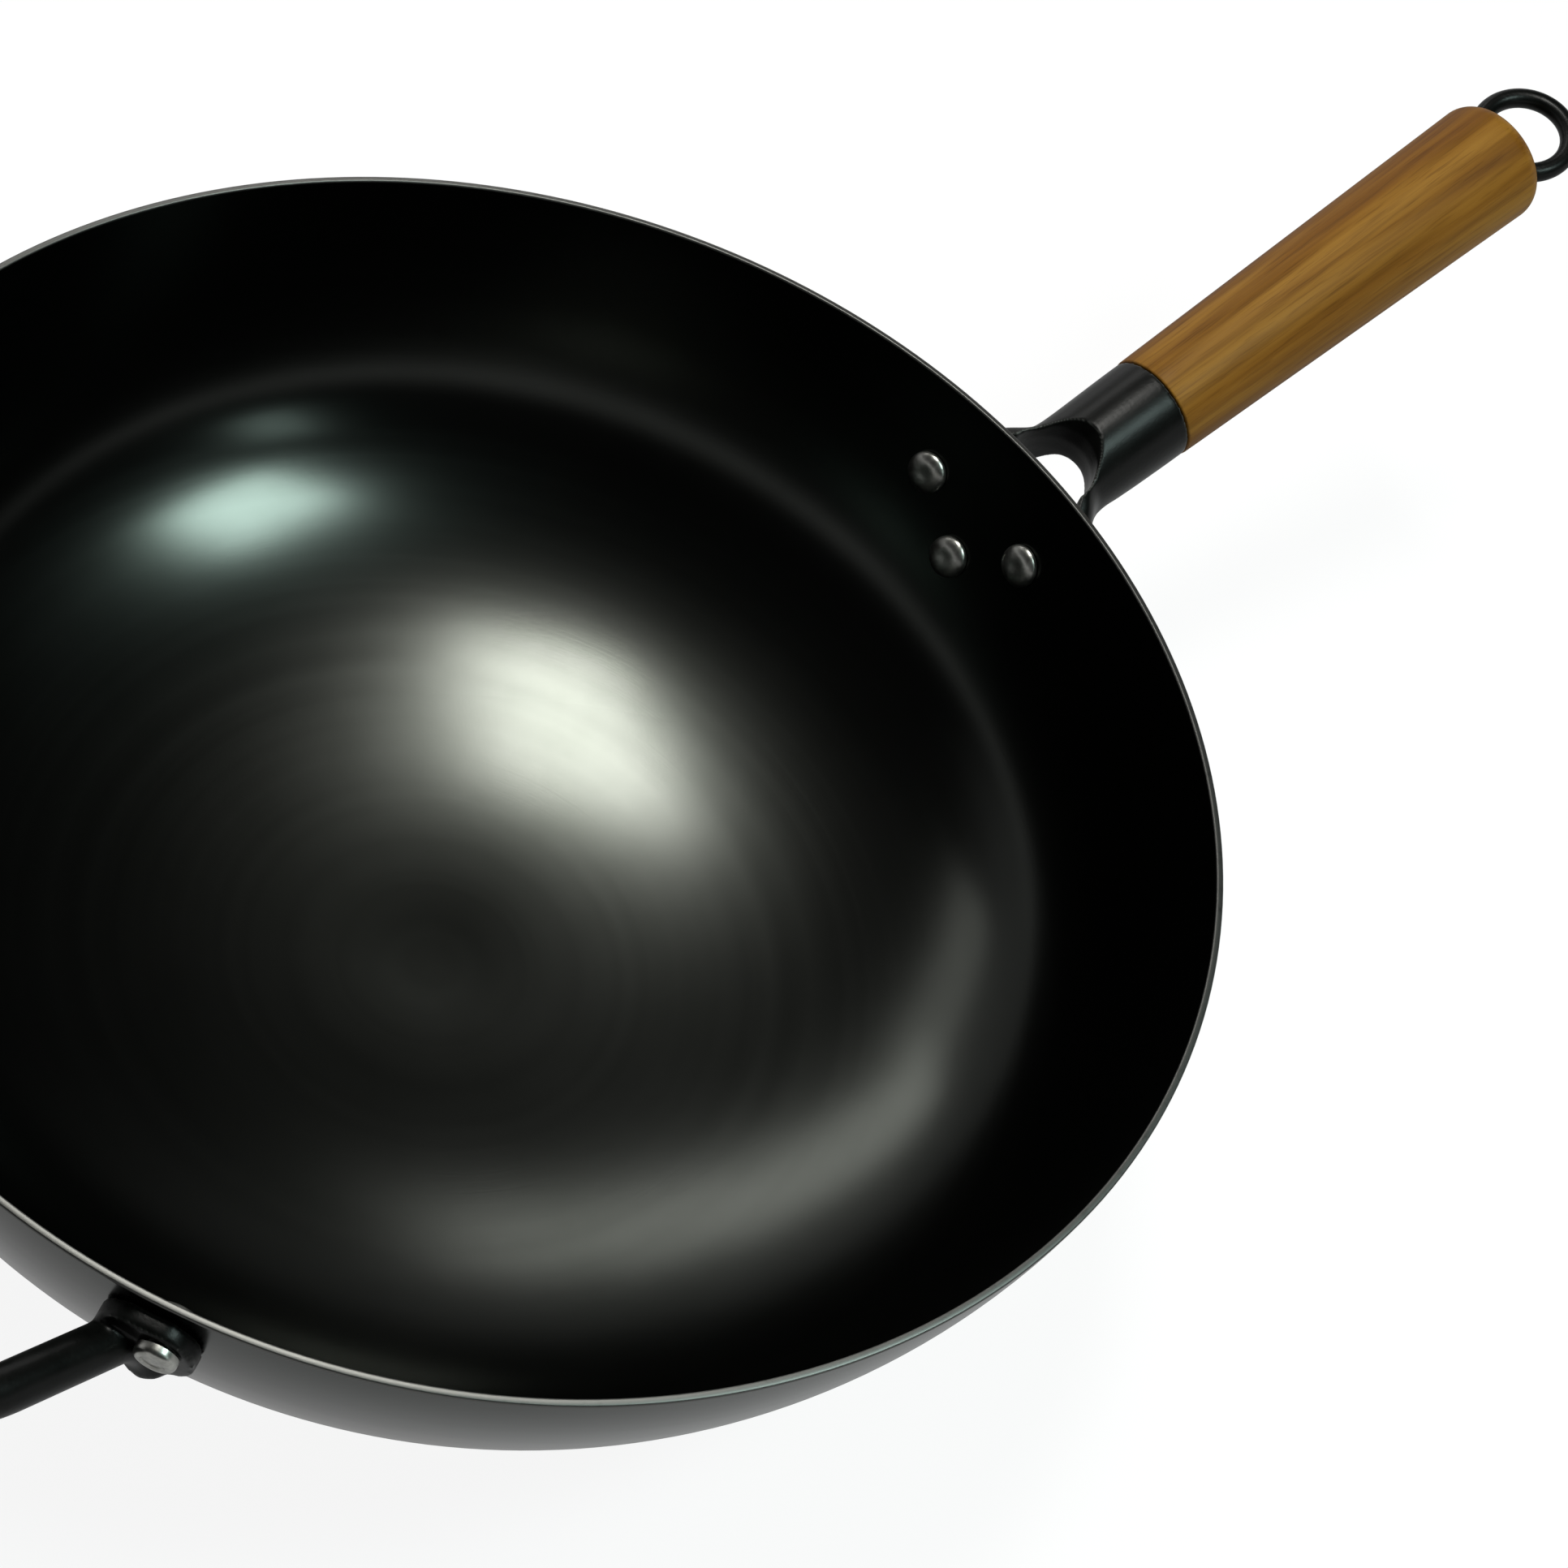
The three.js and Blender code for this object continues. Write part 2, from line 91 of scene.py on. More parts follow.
def closeGaps(piece):  # slits left by cutting are merged or filled, so that the remesh finds a closed skin
    useOnly(piece)
    bpy.ops.object.mode_set(mode="EDIT")
    bpy.ops.mesh.select_all(action="SELECT")
    bpy.ops.mesh.remove_doubles(threshold=slit)
    bpy.ops.mesh.dissolve_degenerate(threshold=slit)
    bpy.ops.mesh.select_all(action="SELECT")
    bpy.ops.mesh.fill_holes(sides=0)
    bpy.ops.mesh.select_all(action="SELECT")
    bpy.ops.mesh.normals_make_consistent(inside=False)
    bpy.ops.object.mode_set(mode="OBJECT")


def reskin(piece, values):  # one even skin with softened edges
    applyModifier(piece, "REMESH", mode="VOXEL", voxel_size=values["voxel"] * mm)
    applyModifier(piece, "SMOOTH", factor=0.5, iterations=values["softening"])


def smoothShade(piece, degrees):
    useOnly(piece)
    bpy.ops.object.shade_smooth_by_angle(angle=math.radians(degrees))


def ease(start, end, value):
    share = min(max((value - start) / (end - start), 0), 1)
    return share * share * (3 - 2 * share)


def between(start, end, share):
    return start + (end - start) * share


def turnRings(name, stations, segments):  # rings (radius, height) in mm, extruded one from the next along Z
    deselectAll()
    radius, height = stations[0]
    bpy.ops.mesh.primitive_circle_add(vertices=segments, radius=radius * mm, location=(0, 0, 0))
    piece = bpy.context.object
    piece.name = name
    bpy.ops.object.mode_set(mode="EDIT")
    bpy.ops.mesh.select_mode(type="VERT")
    bpy.ops.mesh.select_all(action="SELECT")
    bpy.ops.transform.translate(value=(0, 0, height * mm))
    for nextRadius, nextHeight in stations[1:]:
        step = (0, 0, (nextHeight - height) * mm)
        bpy.ops.mesh.extrude_region_move(TRANSFORM_OT_translate={"value": step})
        grow = nextRadius / radius
        bpy.ops.transform.resize(value=(grow, grow, 1), center_override=(0, 0, nextHeight * mm))
        radius, height = nextRadius, nextHeight
    bpy.ops.object.mode_set(mode="OBJECT")
    return piece


def closeRing(piece, ringIndexes, pointed):  # a flat face over an open ring, or one drawn to its middle
    useOnly(piece)
    bpy.ops.object.mode_set(mode="EDIT")
    bpy.ops.mesh.select_all(action="DESELECT")
    bpy.ops.object.mode_set(mode="OBJECT")
    for index in ringIndexes:
        piece.data.vertices[index].select = True
    bpy.ops.object.mode_set(mode="EDIT")
    bpy.ops.mesh.edge_face_add()
    if pointed:
        bpy.ops.mesh.poke()
    bpy.ops.object.mode_set(mode="OBJECT")


def turnSolid(name, stations, segments, pointed=True):  # both ends closed
    piece = turnRings(name, stations, segments)
    total = len(piece.data.vertices)
    closeRing(piece, range(segments), pointed)
    closeRing(piece, range(total - segments, total), pointed)
    recalcNormals(piece)
    return piece


def markWearAndHighlight(piece, flat, sharp):  # own attribute, 1 along the outer edges: wear, and on the black coat also a painted highlight line
    mesh = piece.data
    bend = [0.0] * len(mesh.vertices)
    count = [1] * len(mesh.vertices)
    for edge in mesh.edges:
        first, second = (mesh.vertices[index] for index in edge.vertices)
        step = (second.co - first.co).normalized()
        bend[first.index] -= step.dot(first.normal)
        bend[second.index] += step.dot(second.normal)
        count[first.index] += 1
        count[second.index] += 1
    wearAndHighlight = mesh.attributes.new("edgeWearAndHighlight", "FLOAT", "POINT")
    for index, layer in enumerate(wearAndHighlight.data):
        layer.value = ease(flat, sharp, bend[index] / count[index])


def finishPiece(piece, body, node, material):
    piece.data.materials.clear()
    piece.data.materials.append(material)
    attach(piece, body)
    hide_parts(node)
    print("piece done:", piece.name, len(piece.data.polygons), "faces")


# camera at the photograph's angle

viewPoint = {
    "place": (-353.82, -257.73, 636.57),
    "forward": (0.56262, 0.30518, -0.76837),
    "up": (0.41513, 0.69953, 0.58171),
    "lens": 74.534, "sensor": 36, "near": 0.01, "far": 20,
}

cameraData = bpy.data.cameras.new("viewCamera")
cameraData.lens = viewPoint["lens"]
cameraData.sensor_width = viewPoint["sensor"]
cameraData.clip_start = viewPoint["near"]
cameraData.clip_end = viewPoint["far"]
viewCamera = bpy.data.objects.new("viewCamera", cameraData)
bpy.context.scene.collection.objects.link(viewCamera)
backward = -Vector(viewPoint["forward"]).normalized()
rightward = Vector(viewPoint["up"]).cross(backward).normalized()
upward = backward.cross(rightward)
turn = Matrix((rightward, upward, backward)).transposed().to_4x4()
viewCamera.matrix_world = Matrix.Translation(Vector(viewPoint["place"]) * mm) @ turn
bpy.context.scene.camera = viewCamera
bpy.context.scene.view_settings.view_transform = "Standard"
print("camera set")


# materials

def newMaterial(name):
    material = bpy.data.materials.new(name)
    material.use_nodes = True
    nodes = material.node_tree.nodes
    return material, nodes, material.node_tree.links, nodes["Principled BSDF"]


def addNode(nodes, kind, **values):
    node = nodes.new(kind)
    for key, value in values.items():
        if key in node.inputs:
            node.inputs[key].default_value = value
        else:
            setattr(node, key, value)
    return node


def addRamp(nodes, stops):
    ramp = nodes.new("ShaderNodeValToRGB")
    elements = ramp.color_ramp.elements
    while len(elements) < len(stops):
        elements.new(0.5)
    for element, (place, color) in zip(elements, stops):
        element.position = place
        element.color = (*color, 1)
    return ramp


def addRange(nodes, low, high):
    return addNode(nodes, "ShaderNodeMapRange", **{"To Min": low, "To Max": high})


colorMix = {"data": "RGBA", "sides": (6, 7), "result": 2}  # sockets of a mix node for colours
valueMix = {"data": "FLOAT", "sides": (2, 3), "result": 0}  # and for single values


def mixOf(nodes, links, kind, share, first, second, blend="MIX"):
    mix = addNode(nodes, "ShaderNodeMix", data_type=kind["data"], blend_type=blend)
    for source, index in zip((share, first, second), (0, *kind["sides"])):
        if isinstance(source, bpy.types.NodeSocket):
            links.new(source, mix.inputs[index])
        elif isinstance(source, tuple):
            mix.inputs[index].default_value = (*source, 1)
        else:
            mix.inputs[index].default_value = source
    return mix.outputs[kind["result"]]


def wearAndHighlightShare(nodes, links, place, scale, low, high):  # edge wear broken up by noise; on the black coat the same mask also paints a highlight line along the edges
    wearAndHighlight = addNode(nodes, "ShaderNodeAttribute", attribute_name="edgeWearAndHighlight")
    chips = addNode(nodes, "ShaderNodeTexNoise", Scale=scale, Detail=4.0, Roughness=0.7)
    links.new(place.outputs["Object"], chips.inputs["Vector"])
    breakUp = addNode(nodes, "ShaderNodeMapRange", **{"From Min": low, "From Max": high})
    links.new(chips.outputs["Fac"], breakUp.inputs["Value"])
    share = addNode(nodes, "ShaderNodeMath", operation="MULTIPLY")
    links.new(wearAndHighlight.outputs["Fac"], share.inputs[0])
    links.new(breakUp.outputs["Result"], share.inputs[1])
    return share.outputs[0]


steel = {
    "fineLines": 1400.0, "broadLines": 150.0, "grain": 1600.0, "cloud": 11.0,  # scales
    "tint": [(0.3, (0.036, 0.039, 0.035)), (0.7, (0.05, 0.053, 0.049))],
    "wearAndHighlightColor": (0.115, 0.115, 0.11), "bareRoughness": 0.4, "wearAndHighlightEdge": (300.0, -0.2, 0.45),
    "gloss": (0.19, 0.215), "bumpDepth": 0.000006,
}


def spunSteel():  # blackened sheet with fine turning lines round the axis, rim edge bare
    material, nodes, links, shader = newMaterial("spunSteel")
    place = nodes.new("ShaderNodeTexCoord")
    split = nodes.new("ShaderNodeSeparateXYZ")
    links.new(place.outputs["Object"], split.inputs[0])
    flat = nodes.new("ShaderNodeCombineXYZ")
    links.new(split.outputs["X"], flat.inputs["X"])
    links.new(split.outputs["Y"], flat.inputs["Y"])
    radius = addNode(nodes, "ShaderNodeVectorMath", operation="LENGTH")
    links.new(flat.outputs[0], radius.inputs[0])
    along = addNode(nodes, "ShaderNodeMath", operation="ADD")
    links.new(radius.outputs["Value"], along.inputs[0])
    links.new(split.outputs["Z"], along.inputs[1])
    fineLines = addNode(
        nodes, "ShaderNodeTexNoise", noise_dimensions="1D",
        Scale=steel["fineLines"], Detail=3.0, Roughness=0.7,
    )
    broadLines = addNode(
        nodes, "ShaderNodeTexNoise", noise_dimensions="1D", Scale=steel["broadLines"], Detail=3.0,
    )
    links.new(along.outputs[0], fineLines.inputs["W"])
    links.new(along.outputs[0], broadLines.inputs["W"])
    grain = addNode(nodes, "ShaderNodeTexNoise", Scale=steel["grain"], Detail=2.0)
    cloud = addNode(nodes, "ShaderNodeTexNoise", Scale=steel["cloud"], Detail=5.0, Roughness=0.6)
    for noise in (grain, cloud):
        links.new(place.outputs["Object"], noise.inputs["Vector"])
    tint = addRamp(nodes, steel["tint"])
    links.new(cloud.outputs["Fac"], tint.inputs["Fac"])
    wearAndHighlightMask = wearAndHighlightShare(nodes, links, place, *steel["wearAndHighlightEdge"])
    color = mixOf(nodes, links, colorMix, wearAndHighlightMask, tint.outputs["Color"], steel["wearAndHighlightColor"])
    links.new(color, shader.inputs["Base Color"])
    gloss = addRange(nodes, *steel["gloss"])
    links.new(broadLines.outputs["Fac"], gloss.inputs["Value"])
    roughness = mixOf(nodes, links, valueMix, wearAndHighlightMask, gloss.outputs["Result"], steel["bareRoughness"])
    links.new(roughness, shader.inputs["Roughness"])
    lines = addNode(nodes, "ShaderNodeBump", Strength=0.5, Distance=steel["bumpDepth"])
    links.new(fineLines.outputs["Fac"], lines.inputs["Height"])
    specks = addNode(nodes, "ShaderNodeBump", Strength=0.5, Distance=steel["bumpDepth"])
    links.new(grain.outputs["Fac"], specks.inputs["Height"])
    links.new(lines.outputs["Normal"], specks.inputs["Normal"])
    links.new(specks.outputs["Normal"], shader.inputs["Normal"])
    shader.inputs["Metallic"].default_value = 1.0
    return material


coat = {
    "mottle": 160.0, "grain": 1100.0,  # scales
    "tint": [(0.3, (0.0012, 0.0014, 0.0012)), (0.75, (0.004, 0.0043, 0.0039))],
    # the grey on the edges of the black coat is partly wear and partly a painted highlight line
    "wearAndHighlightColor": (0.11, 0.11, 0.104), "wearAndHighlightEdge": (420.0, 0.05, 0.55),
    "gloss": (0.28, 0.38), "bumpDepth": 0.0001, "shine": 0.15,
}


def satinBlack():  # baked black coat, faintly mottled, lighter along the edges: partly worn thin, partly a painted highlight line
    material, nodes, links, shader = newMaterial("satinBlack")
    place = nodes.new("ShaderNodeTexCoord")
    mottle = addNode(nodes, "ShaderNodeTexNoise", Scale=coat["mottle"], Detail=5.0, Roughness=0.65)
    links.new(place.outputs["Object"], mottle.inputs["Vector"])
    tint = addRamp(nodes, coat["tint"])
    links.new(mottle.outputs["Fac"], tint.inputs["Fac"])
    # edge mask: wear, and a painted highlight line along the edges of the black coat
    wearAndHighlightMask = wearAndHighlightShare(nodes, links, place, *coat["wearAndHighlightEdge"])
    color = mixOf(nodes, links, colorMix, wearAndHighlightMask, tint.outputs["Color"], coat["wearAndHighlightColor"])
    links.new(color, shader.inputs["Base Color"])
    gloss = addRange(nodes, *coat["gloss"])
    links.new(mottle.outputs["Fac"], gloss.inputs["Value"])
    links.new(gloss.outputs["Result"], shader.inputs["Roughness"])
    grain = addNode(nodes, "ShaderNodeTexNoise", Scale=coat["grain"], Detail=2.0)
    links.new(place.outputs["Object"], grain.inputs["Vector"])
    bump = addNode(nodes, "ShaderNodeBump", Strength=0.3, Distance=coat["bumpDepth"])
    links.new(grain.outputs["Fac"], bump.inputs["Height"])
    links.new(bump.outputs["Normal"], shader.inputs["Normal"])
    shader.inputs["Specular IOR Level"].default_value = coat["shine"]
    return material


rivetMetal = {
    "blotch": 420.0, "uneven": 260.0,  # scales
    "tint": [(0.32, (0.26, 0.26, 0.24)), (0.68, (0.5, 0.5, 0.47))],
    "gloss": (0.24, 0.42), "bumpDepth": 0.00012,
}


def rivetSteel():  # dull bright steel, uneven from setting
    material, nodes, links, shader = newMaterial("rivetSteel")
    place = nodes.new("ShaderNodeTexCoord")
    blotch = addNode(nodes, "ShaderNodeTexNoise", Scale=rivetMetal["blotch"], Detail=5.0, Roughness=0.65)
    uneven = addNode(nodes, "ShaderNodeTexNoise", Scale=rivetMetal["uneven"], Detail=2.0)
    for noise in (blotch, uneven):
        links.new(place.outputs["Object"], noise.inputs["Vector"])
    tint = addRamp(nodes, rivetMetal["tint"])
    links.new(blotch.outputs["Fac"], tint.inputs["Fac"])
    links.new(tint.outputs["Color"], shader.inputs["Base Color"])
    gloss = addRange(nodes, *rivetMetal["gloss"])
    links.new(blotch.outputs["Fac"], gloss.inputs["Value"])
    links.new(gloss.outputs["Result"], shader.inputs["Roughness"])
    bump = addNode(nodes, "ShaderNodeBump", Strength=0.3, Distance=rivetMetal["bumpDepth"])
    links.new(uneven.outputs["Fac"], bump.inputs["Height"])
    links.new(bump.outputs["Normal"], shader.inputs["Normal"])
    shader.inputs["Metallic"].default_value = 1.0
    return material


wood = {
    "grain": [  # lanes, streaks and pores: scale along and across the handle, detail, distortion
        ((4, 110, 110), 3.0, 0.15),
        ((14, 520, 520), 4.0, 0.0),
        ((50, 1500, 1500), 2.0, 0.0),
    ],
    "tint": [
        (0.3, (0.13, 0.045, 0.004)),
        (0.46, (0.205, 0.085, 0.009)),
        (0.6, (0.29, 0.135, 0.019)),
        (0.74, (0.22, 0.093, 0.011)),
    ],
    "streakTone": [(0.3, (0.5, 0.44, 0.36)), (0.55, (1, 1, 1))], "streakShare": 0.55,
    "poreTone": [(0.34, (0.55, 0.48, 0.4)), (0.46, (1, 1, 1))], "poreShare": 0.5,
    "wearAndHighlightColor": (0.34, 0.15, 0.04), "wearAndHighlightEdge": (200.0, 0.3, 0.62),
    "gloss": (0.44, 0.58), "bumpDepth": 0.0001,
    "shine": 0.1, "lacquer": 0.02, "lacquerRoughness": 0.3,
}


def stainedWood(rise):  # lengthwise grain under a satin lacquer
    material, nodes, links, shader = newMaterial("stainedWood")
    place = nodes.new("ShaderNodeTexCoord")
    turned = addNode(nodes, "ShaderNodeMapping", Rotation=(0, math.radians(rise), 0))
    links.new(place.outputs["Object"], turned.inputs["Vector"])
    noises = []
    for scale, detail, distortion in wood["grain"]:
        stretch = addNode(nodes, "ShaderNodeMapping", Scale=scale)
        links.new(turned.outputs[0], stretch.inputs["Vector"])
        noise = addNode(
            nodes, "ShaderNodeTexNoise", Scale=1.0, Detail=detail, Roughness=0.6, Distortion=distortion,
        )
        links.new(stretch.outputs[0], noise.inputs["Vector"])
        noises.append(noise)
    lanes, streaks, pores = noises
    tint = addRamp(nodes, wood["tint"])
    links.new(lanes.outputs["Fac"], tint.inputs["Fac"])
    streakTone = addRamp(nodes, wood["streakTone"])
    links.new(streaks.outputs["Fac"], streakTone.inputs["Fac"])
    poreTone = addRamp(nodes, wood["poreTone"])
    links.new(pores.outputs["Fac"], poreTone.inputs["Fac"])
    color = tint.outputs["Color"]
    for tone, share in ((streakTone, wood["streakShare"]), (poreTone, wood["poreShare"])):
        color = mixOf(nodes, links, colorMix, share, color, tone.outputs["Color"], "MULTIPLY")
    wearAndHighlightMask = wearAndHighlightShare(nodes, links, place, *wood["wearAndHighlightEdge"])
    color = mixOf(nodes, links, colorMix, wearAndHighlightMask, color, wood["wearAndHighlightColor"])
    links.new(color, shader.inputs["Base Color"])
    gloss = addRange(nodes, *wood["gloss"])
    links.new(streaks.outputs["Fac"], gloss.inputs["Value"])
    links.new(gloss.outputs["Result"], shader.inputs["Roughness"])
    bump = addNode(nodes, "ShaderNodeBump", Strength=0.3, Distance=wood["bumpDepth"])
    links.new(pores.outputs["Fac"], bump.inputs["Height"])
    links.new(bump.outputs["Normal"], shader.inputs["Normal"])
    shader.inputs["Specular IOR Level"].default_value = wood["shine"]
    shader.inputs["Coat Weight"].default_value = wood["lacquer"]
    shader.inputs["Coat Roughness"].default_value = wood["lacquerRoughness"]
    return material


handleLine = {"rimRadius": 160, "drop": 31.95, "rise": 17.08}

steelLook = spunSteel()
blackLook = satinBlack()
rivetLook = rivetSteel()
woodLook = stainedWood(handleLine["rise"])
print("materials made")


# bowl

bowl = {
    "rimRadius": 160, "sheet": 1.6, "edgeCorner": 0.35, "segments": 256, "floorRings": 5, "floorStart": 0.3,
    "arcs": [(86, 62, 30), (147, 84, 20)],  # outside: radius, slope where it ends, rings
    "dish": [  # inside: slope, radius of the curve there
        (0, 260), (7, 270), (15, 225), (25, 140), (35, 90),
        (45, 56.6), (54, 53.8), (62, 73.6), (70, 147), (84, 147),
    ],
    "dishRings": 84, "smoothAngle": 35, "bareBelow": 0.12,
    "blockRings": 0.6, "blockSegments": 180, "blockCore": 1, "blockLift": 30,
}


def sineOf(degrees):
    return math.sin(math.radians(degrees))


def cosineOf(degrees):
    return math.cos(math.radians(degrees))


def wallReach(slope):  # (run, rise) from the edge of the flat floor to where the wall has this slope
    run, rise, start = 0, 0, 0
    for radius, end, rings in bowl["arcs"]:
        stop = max(min(slope, end), start)
        run += radius * (sineOf(stop) - sineOf(start))
        rise += radius * (cosineOf(start) - cosineOf(stop))
        start = end
    return run, rise


upperRadius, rimSlope = bowl["arcs"][-1][:2]
floorRadius = bowl["rimRadius"] - wallReach(rimSlope)[0]
rimHeight = wallReach(rimSlope)[1]


def wallPoint(slope, out):  # (radius, height) of the wall where it has this slope, moved out along its normal
    run, rise = wallReach(slope)
    return floorRadius + run + out * sineOf(slope), rise - out * cosineOf(slope)


def slopeAtDepth(depth):
    return math.degrees(math.acos(cosineOf(rimSlope) + depth / upperRadius))


def wallRings(out, share):
    slopes = [0]
    for radius, end, rings in bowl["arcs"]:
        count = max(round(rings * share), 2)
        start = slopes[-1]
        slopes += [between(start, end, i / count) for i in range(1, count + 1)]
    return [wallPoint(slope, out) for slope in slopes]


def dishCurve(slope):  # radius of the inside's curve where it has this slope
    for (start, first), (end, second) in zip(bowl["dish"], bowl["dish"][1:]):
        if slope <= end:
            return first * (second / first) ** ((slope - start) / (end - start))


def dishRings():  # inside of the bowl worked down from the rim, rounder than the outside
    radius, height = wallPoint(rimSlope, -bowl["sheet"])
    step = rimSlope / bowl["dishRings"]
    rings = [(radius, height)]
    for i in range(bowl["dishRings"]):
        slope = rimSlope - (i + 0.5) * step
        length = (dishCurve(slope) - bowl["sheet"]) * math.radians(step)
        radius -= length * cosineOf(slope)
        height -= length * sineOf(slope)
        rings.append((radius, height))
    return rings


def bowlRings():
    half = bowl["sheet"] / 2
    shares = [(i + bowl["floorStart"]) / bowl["floorRings"] for i in range(bowl["floorRings"])]
    outer = wallRings(0, 1)
    inner = dishRings()
    middle = wallPoint(rimSlope, -half)
    corner = bowl["edgeCorner"]
    profile = []
    for angle in quarter:
        profile.append((half - corner * (1 - cosineOf(angle)), half - corner * (1 - sineOf(angle))))
    profile += [(0, half)] + [(-across, ahead) for across, ahead in reversed(profile)]
    edge = []
    for across, ahead in profile:
        edge.append((
            middle[0] + across * sineOf(rimSlope) + ahead * cosineOf(rimSlope),
            middle[1] - across * cosineOf(rimSlope) + ahead * sineOf(rimSlope),
        ))
    below = [(floorRadius * share, 0) for share in shares]
    above = [(inner[-1][0] * share, inner[-1][1]) for share in reversed(shares)]
    return below + outer + edge + inner + above


def markRim(piece):  # own attribute, 1 on the bare edge of the sheet
    wearAndHighlight = piece.data.attributes.new("edgeWearAndHighlight", "FLOAT", "POINT")
    start = rimHeight + bowl["sheet"] / 2 - bowl["edgeCorner"]
    for vertex, layer in zip(piece.data.vertices, wearAndHighlight.data):
        layer.value = 1.0 if vertex.co.z / mm > start - bowl["bareBelow"] else 0.0


bowlShell = turnSolid("bowlShell", bowlRings(), bowl["segments"])
smoothShade(bowlShell, bowl["smoothAngle"])
markRim(bowlShell)
finishPiece(bowlShell, "wok", "wok_bowl", steelLook)


def bowlBlock(out, lift):  # everything inside the outer wall, for cutting what lies against it
    wall = wallRings(out, bowl["blockRings"])
    radius, height = wall[-1]
    core = bowl["blockCore"]
    rings = [(core, wall[0][1])] + wall + [(radius, height + lift), (core, height + lift)]
    return turnSolid("bowlBlock", rings, bowl["blockSegments"])


def wallFrame(angle, depth):  # X along the rim, Y up the wall, Z out of it
    slope = slopeAtDepth(depth)
    radius, height = wallPoint(slope, 0)
    along = Vector((-sineOf(angle), cosineOf(angle), 0))
    out = Vector((sineOf(slope) * cosineOf(angle), sineOf(slope) * sineOf(angle), -cosineOf(slope)))
    up = out.cross(along)
    place = Matrix((along, up, out)).transposed().to_4x4()
    place.translation = Vector((radius * cosineOf(angle), radius * sineOf(angle), height)) * mm
    return place


plateSteps = 10  # round each corner of a plate


def roundedPlate(name, width, height, taper, corner, depth):  # its lower side narrower by taper
    deselectAll()
    bpy.ops.mesh.primitive_plane_add(size=1, location=(0, 0, 0))
    plate = bpy.context.object
    plate.name = name
    plate.scale = (width * mm, height * mm, 1)
    settle(plate)
    bpy.ops.object.mode_set(mode="EDIT")
    bpy.ops.mesh.select_all(action="DESELECT")
    bpy.ops.object.mode_set(mode="OBJECT")
    for vertex in plate.data.vertices:
        vertex.select = vertex.co.y < 0
    bpy.ops.object.mode_set(mode="EDIT")
    bpy.ops.transform.resize(value=(1 - taper, 1, 1), center_override=(0, 0, 0))
    bpy.ops.mesh.select_all(action="SELECT")
    bpy.ops.mesh.bevel(offset=corner * mm, segments=plateSteps, affect="VERTICES")
    bpy.ops.mesh.select_all(action="SELECT")
    bpy.ops.transform.translate(value=(0, 0, -depth * mm))
    bpy.ops.mesh.extrude_region_move(TRANSFORM_OT_translate={"value": (0, 0, 2 * depth * mm)})
    bpy.ops.object.mode_set(mode="OBJECT")
    recalcNormals(plate)
    return plate


def plateOnWall(plate, place, thickness):  # its inner side is cut later, with the piece
    settle(plate, place)
    combine(plate, bowlBlock(fit + thickness, fit), "INTERSECT")
    return plate


# long handle: bracket, rivets, grip, eye

handleAlong = Vector((cosineOf(handleLine["rise"]), 0, sineOf(handleLine["rise"])))
handleUp = Vector((-sineOf(handleLine["rise"]), 0, cosineOf(handleLine["rise"])))
handlePlace = Matrix(((0, 1, 0), handleUp, handleAlong)).transposed().to_4x4()
handlePlace.translation = Vector((handleLine["rimRadius"], 0, rimHeight - handleLine["drop"])) * mm

bracket = {
    "neckStation": 28, "jointStation": 57.7, "neckRadius": 13.35, "ferruleRadius": 13.8,
    "legFlare": 14, "legSpread": 1.484, "legOnset": 9, "legThickness": 5.4,
    "legTop": 10.4, "legTopAtWall": 3.6, "legFoot": -12, "legFootAtWall": -14,
    "legTopRun": (2, 16), "crownRun": (16, 34), "legFootRun": (-10, 22), "heelRun": (28.5, 35.5),
    "sectionPower": 4.2, "sectionRun": (20, 32), "scoop": 13.5, "scoopRun": (30, 42),
    "crotchStation": 34.1, "crotchLength": 12.5, "crotchLean": 0.55, "crotchLeanDepth": 6, "crotchLip": 3,
    "crotchSteps": 14, "crotchLevels": 11, "crotchWallEnd": -30, "crotchReach": 22,
    "padThickness": 3.4, "padCorner": 9, "padTopHalf": 17.4, "padLowerHalf": 14, "padDepth": 20,
    "tenonRadius": 10, "tenonLength": 11.4, "boreEnd": 70, "boreSegments": 64, "wallStart": -22,
    "rings": 80, "segments": 72, "voxel": 0.45, "softening": 5, "smoothAngle": 60, "wearAndHighlight": (0.05, 0.2),
}
rivets = {
    "shankRadius": 3, "headRadius": 5.25, "headRise": 2.7, "headEdge": 0.5, "headChamfer": 0.1,
    "headRings": 20, "dimple": 0.5, "dimpleRadius": 2.1,
    "upsetRadius": 4.4, "upsetRise": 2.6, "upsetChamfer": 0.15,
    "crownRings": 6, "crownSide": 0.45, "crownTop": 0.7,  # shares of the upset end's rise and radius
    "hollow": [(0.6, 0), (0.52, 0.35), (0.3, 0.3)],  # in the upset end: share of its radius, depth
    "hollowTip": (0.3, 0.1),  # radius, depth
    "upperDepth": 23, "upperAngle": 6.35, "lowerDepth": 36, "helperAngle": 27.5, "helperDepth": 8.5,
    "helperPlate": 4, "spotGap": 0.5, "spotRises": 4, "holeStart": -8, "holeEnd": 14, "holeSegments": 32,
    "segments": 64, "smoothAngle": 40,
}


def bracketHalf(station):  # half width across the handle
    if station >= bracket["neckStation"]:
        share = ease(bracket["neckStation"], bracket["jointStation"], station)
        return between(bracket["neckRadius"], bracket["ferruleRadius"], share)
    past = bracket["neckStation"] - station
    spread = bracket["legSpread"] * past ** 2 / (past + bracket["legOnset"])
    return bracket["neckRadius"] + bracket["legFlare"] * (1 - math.exp(-spread / bracket["legFlare"]))


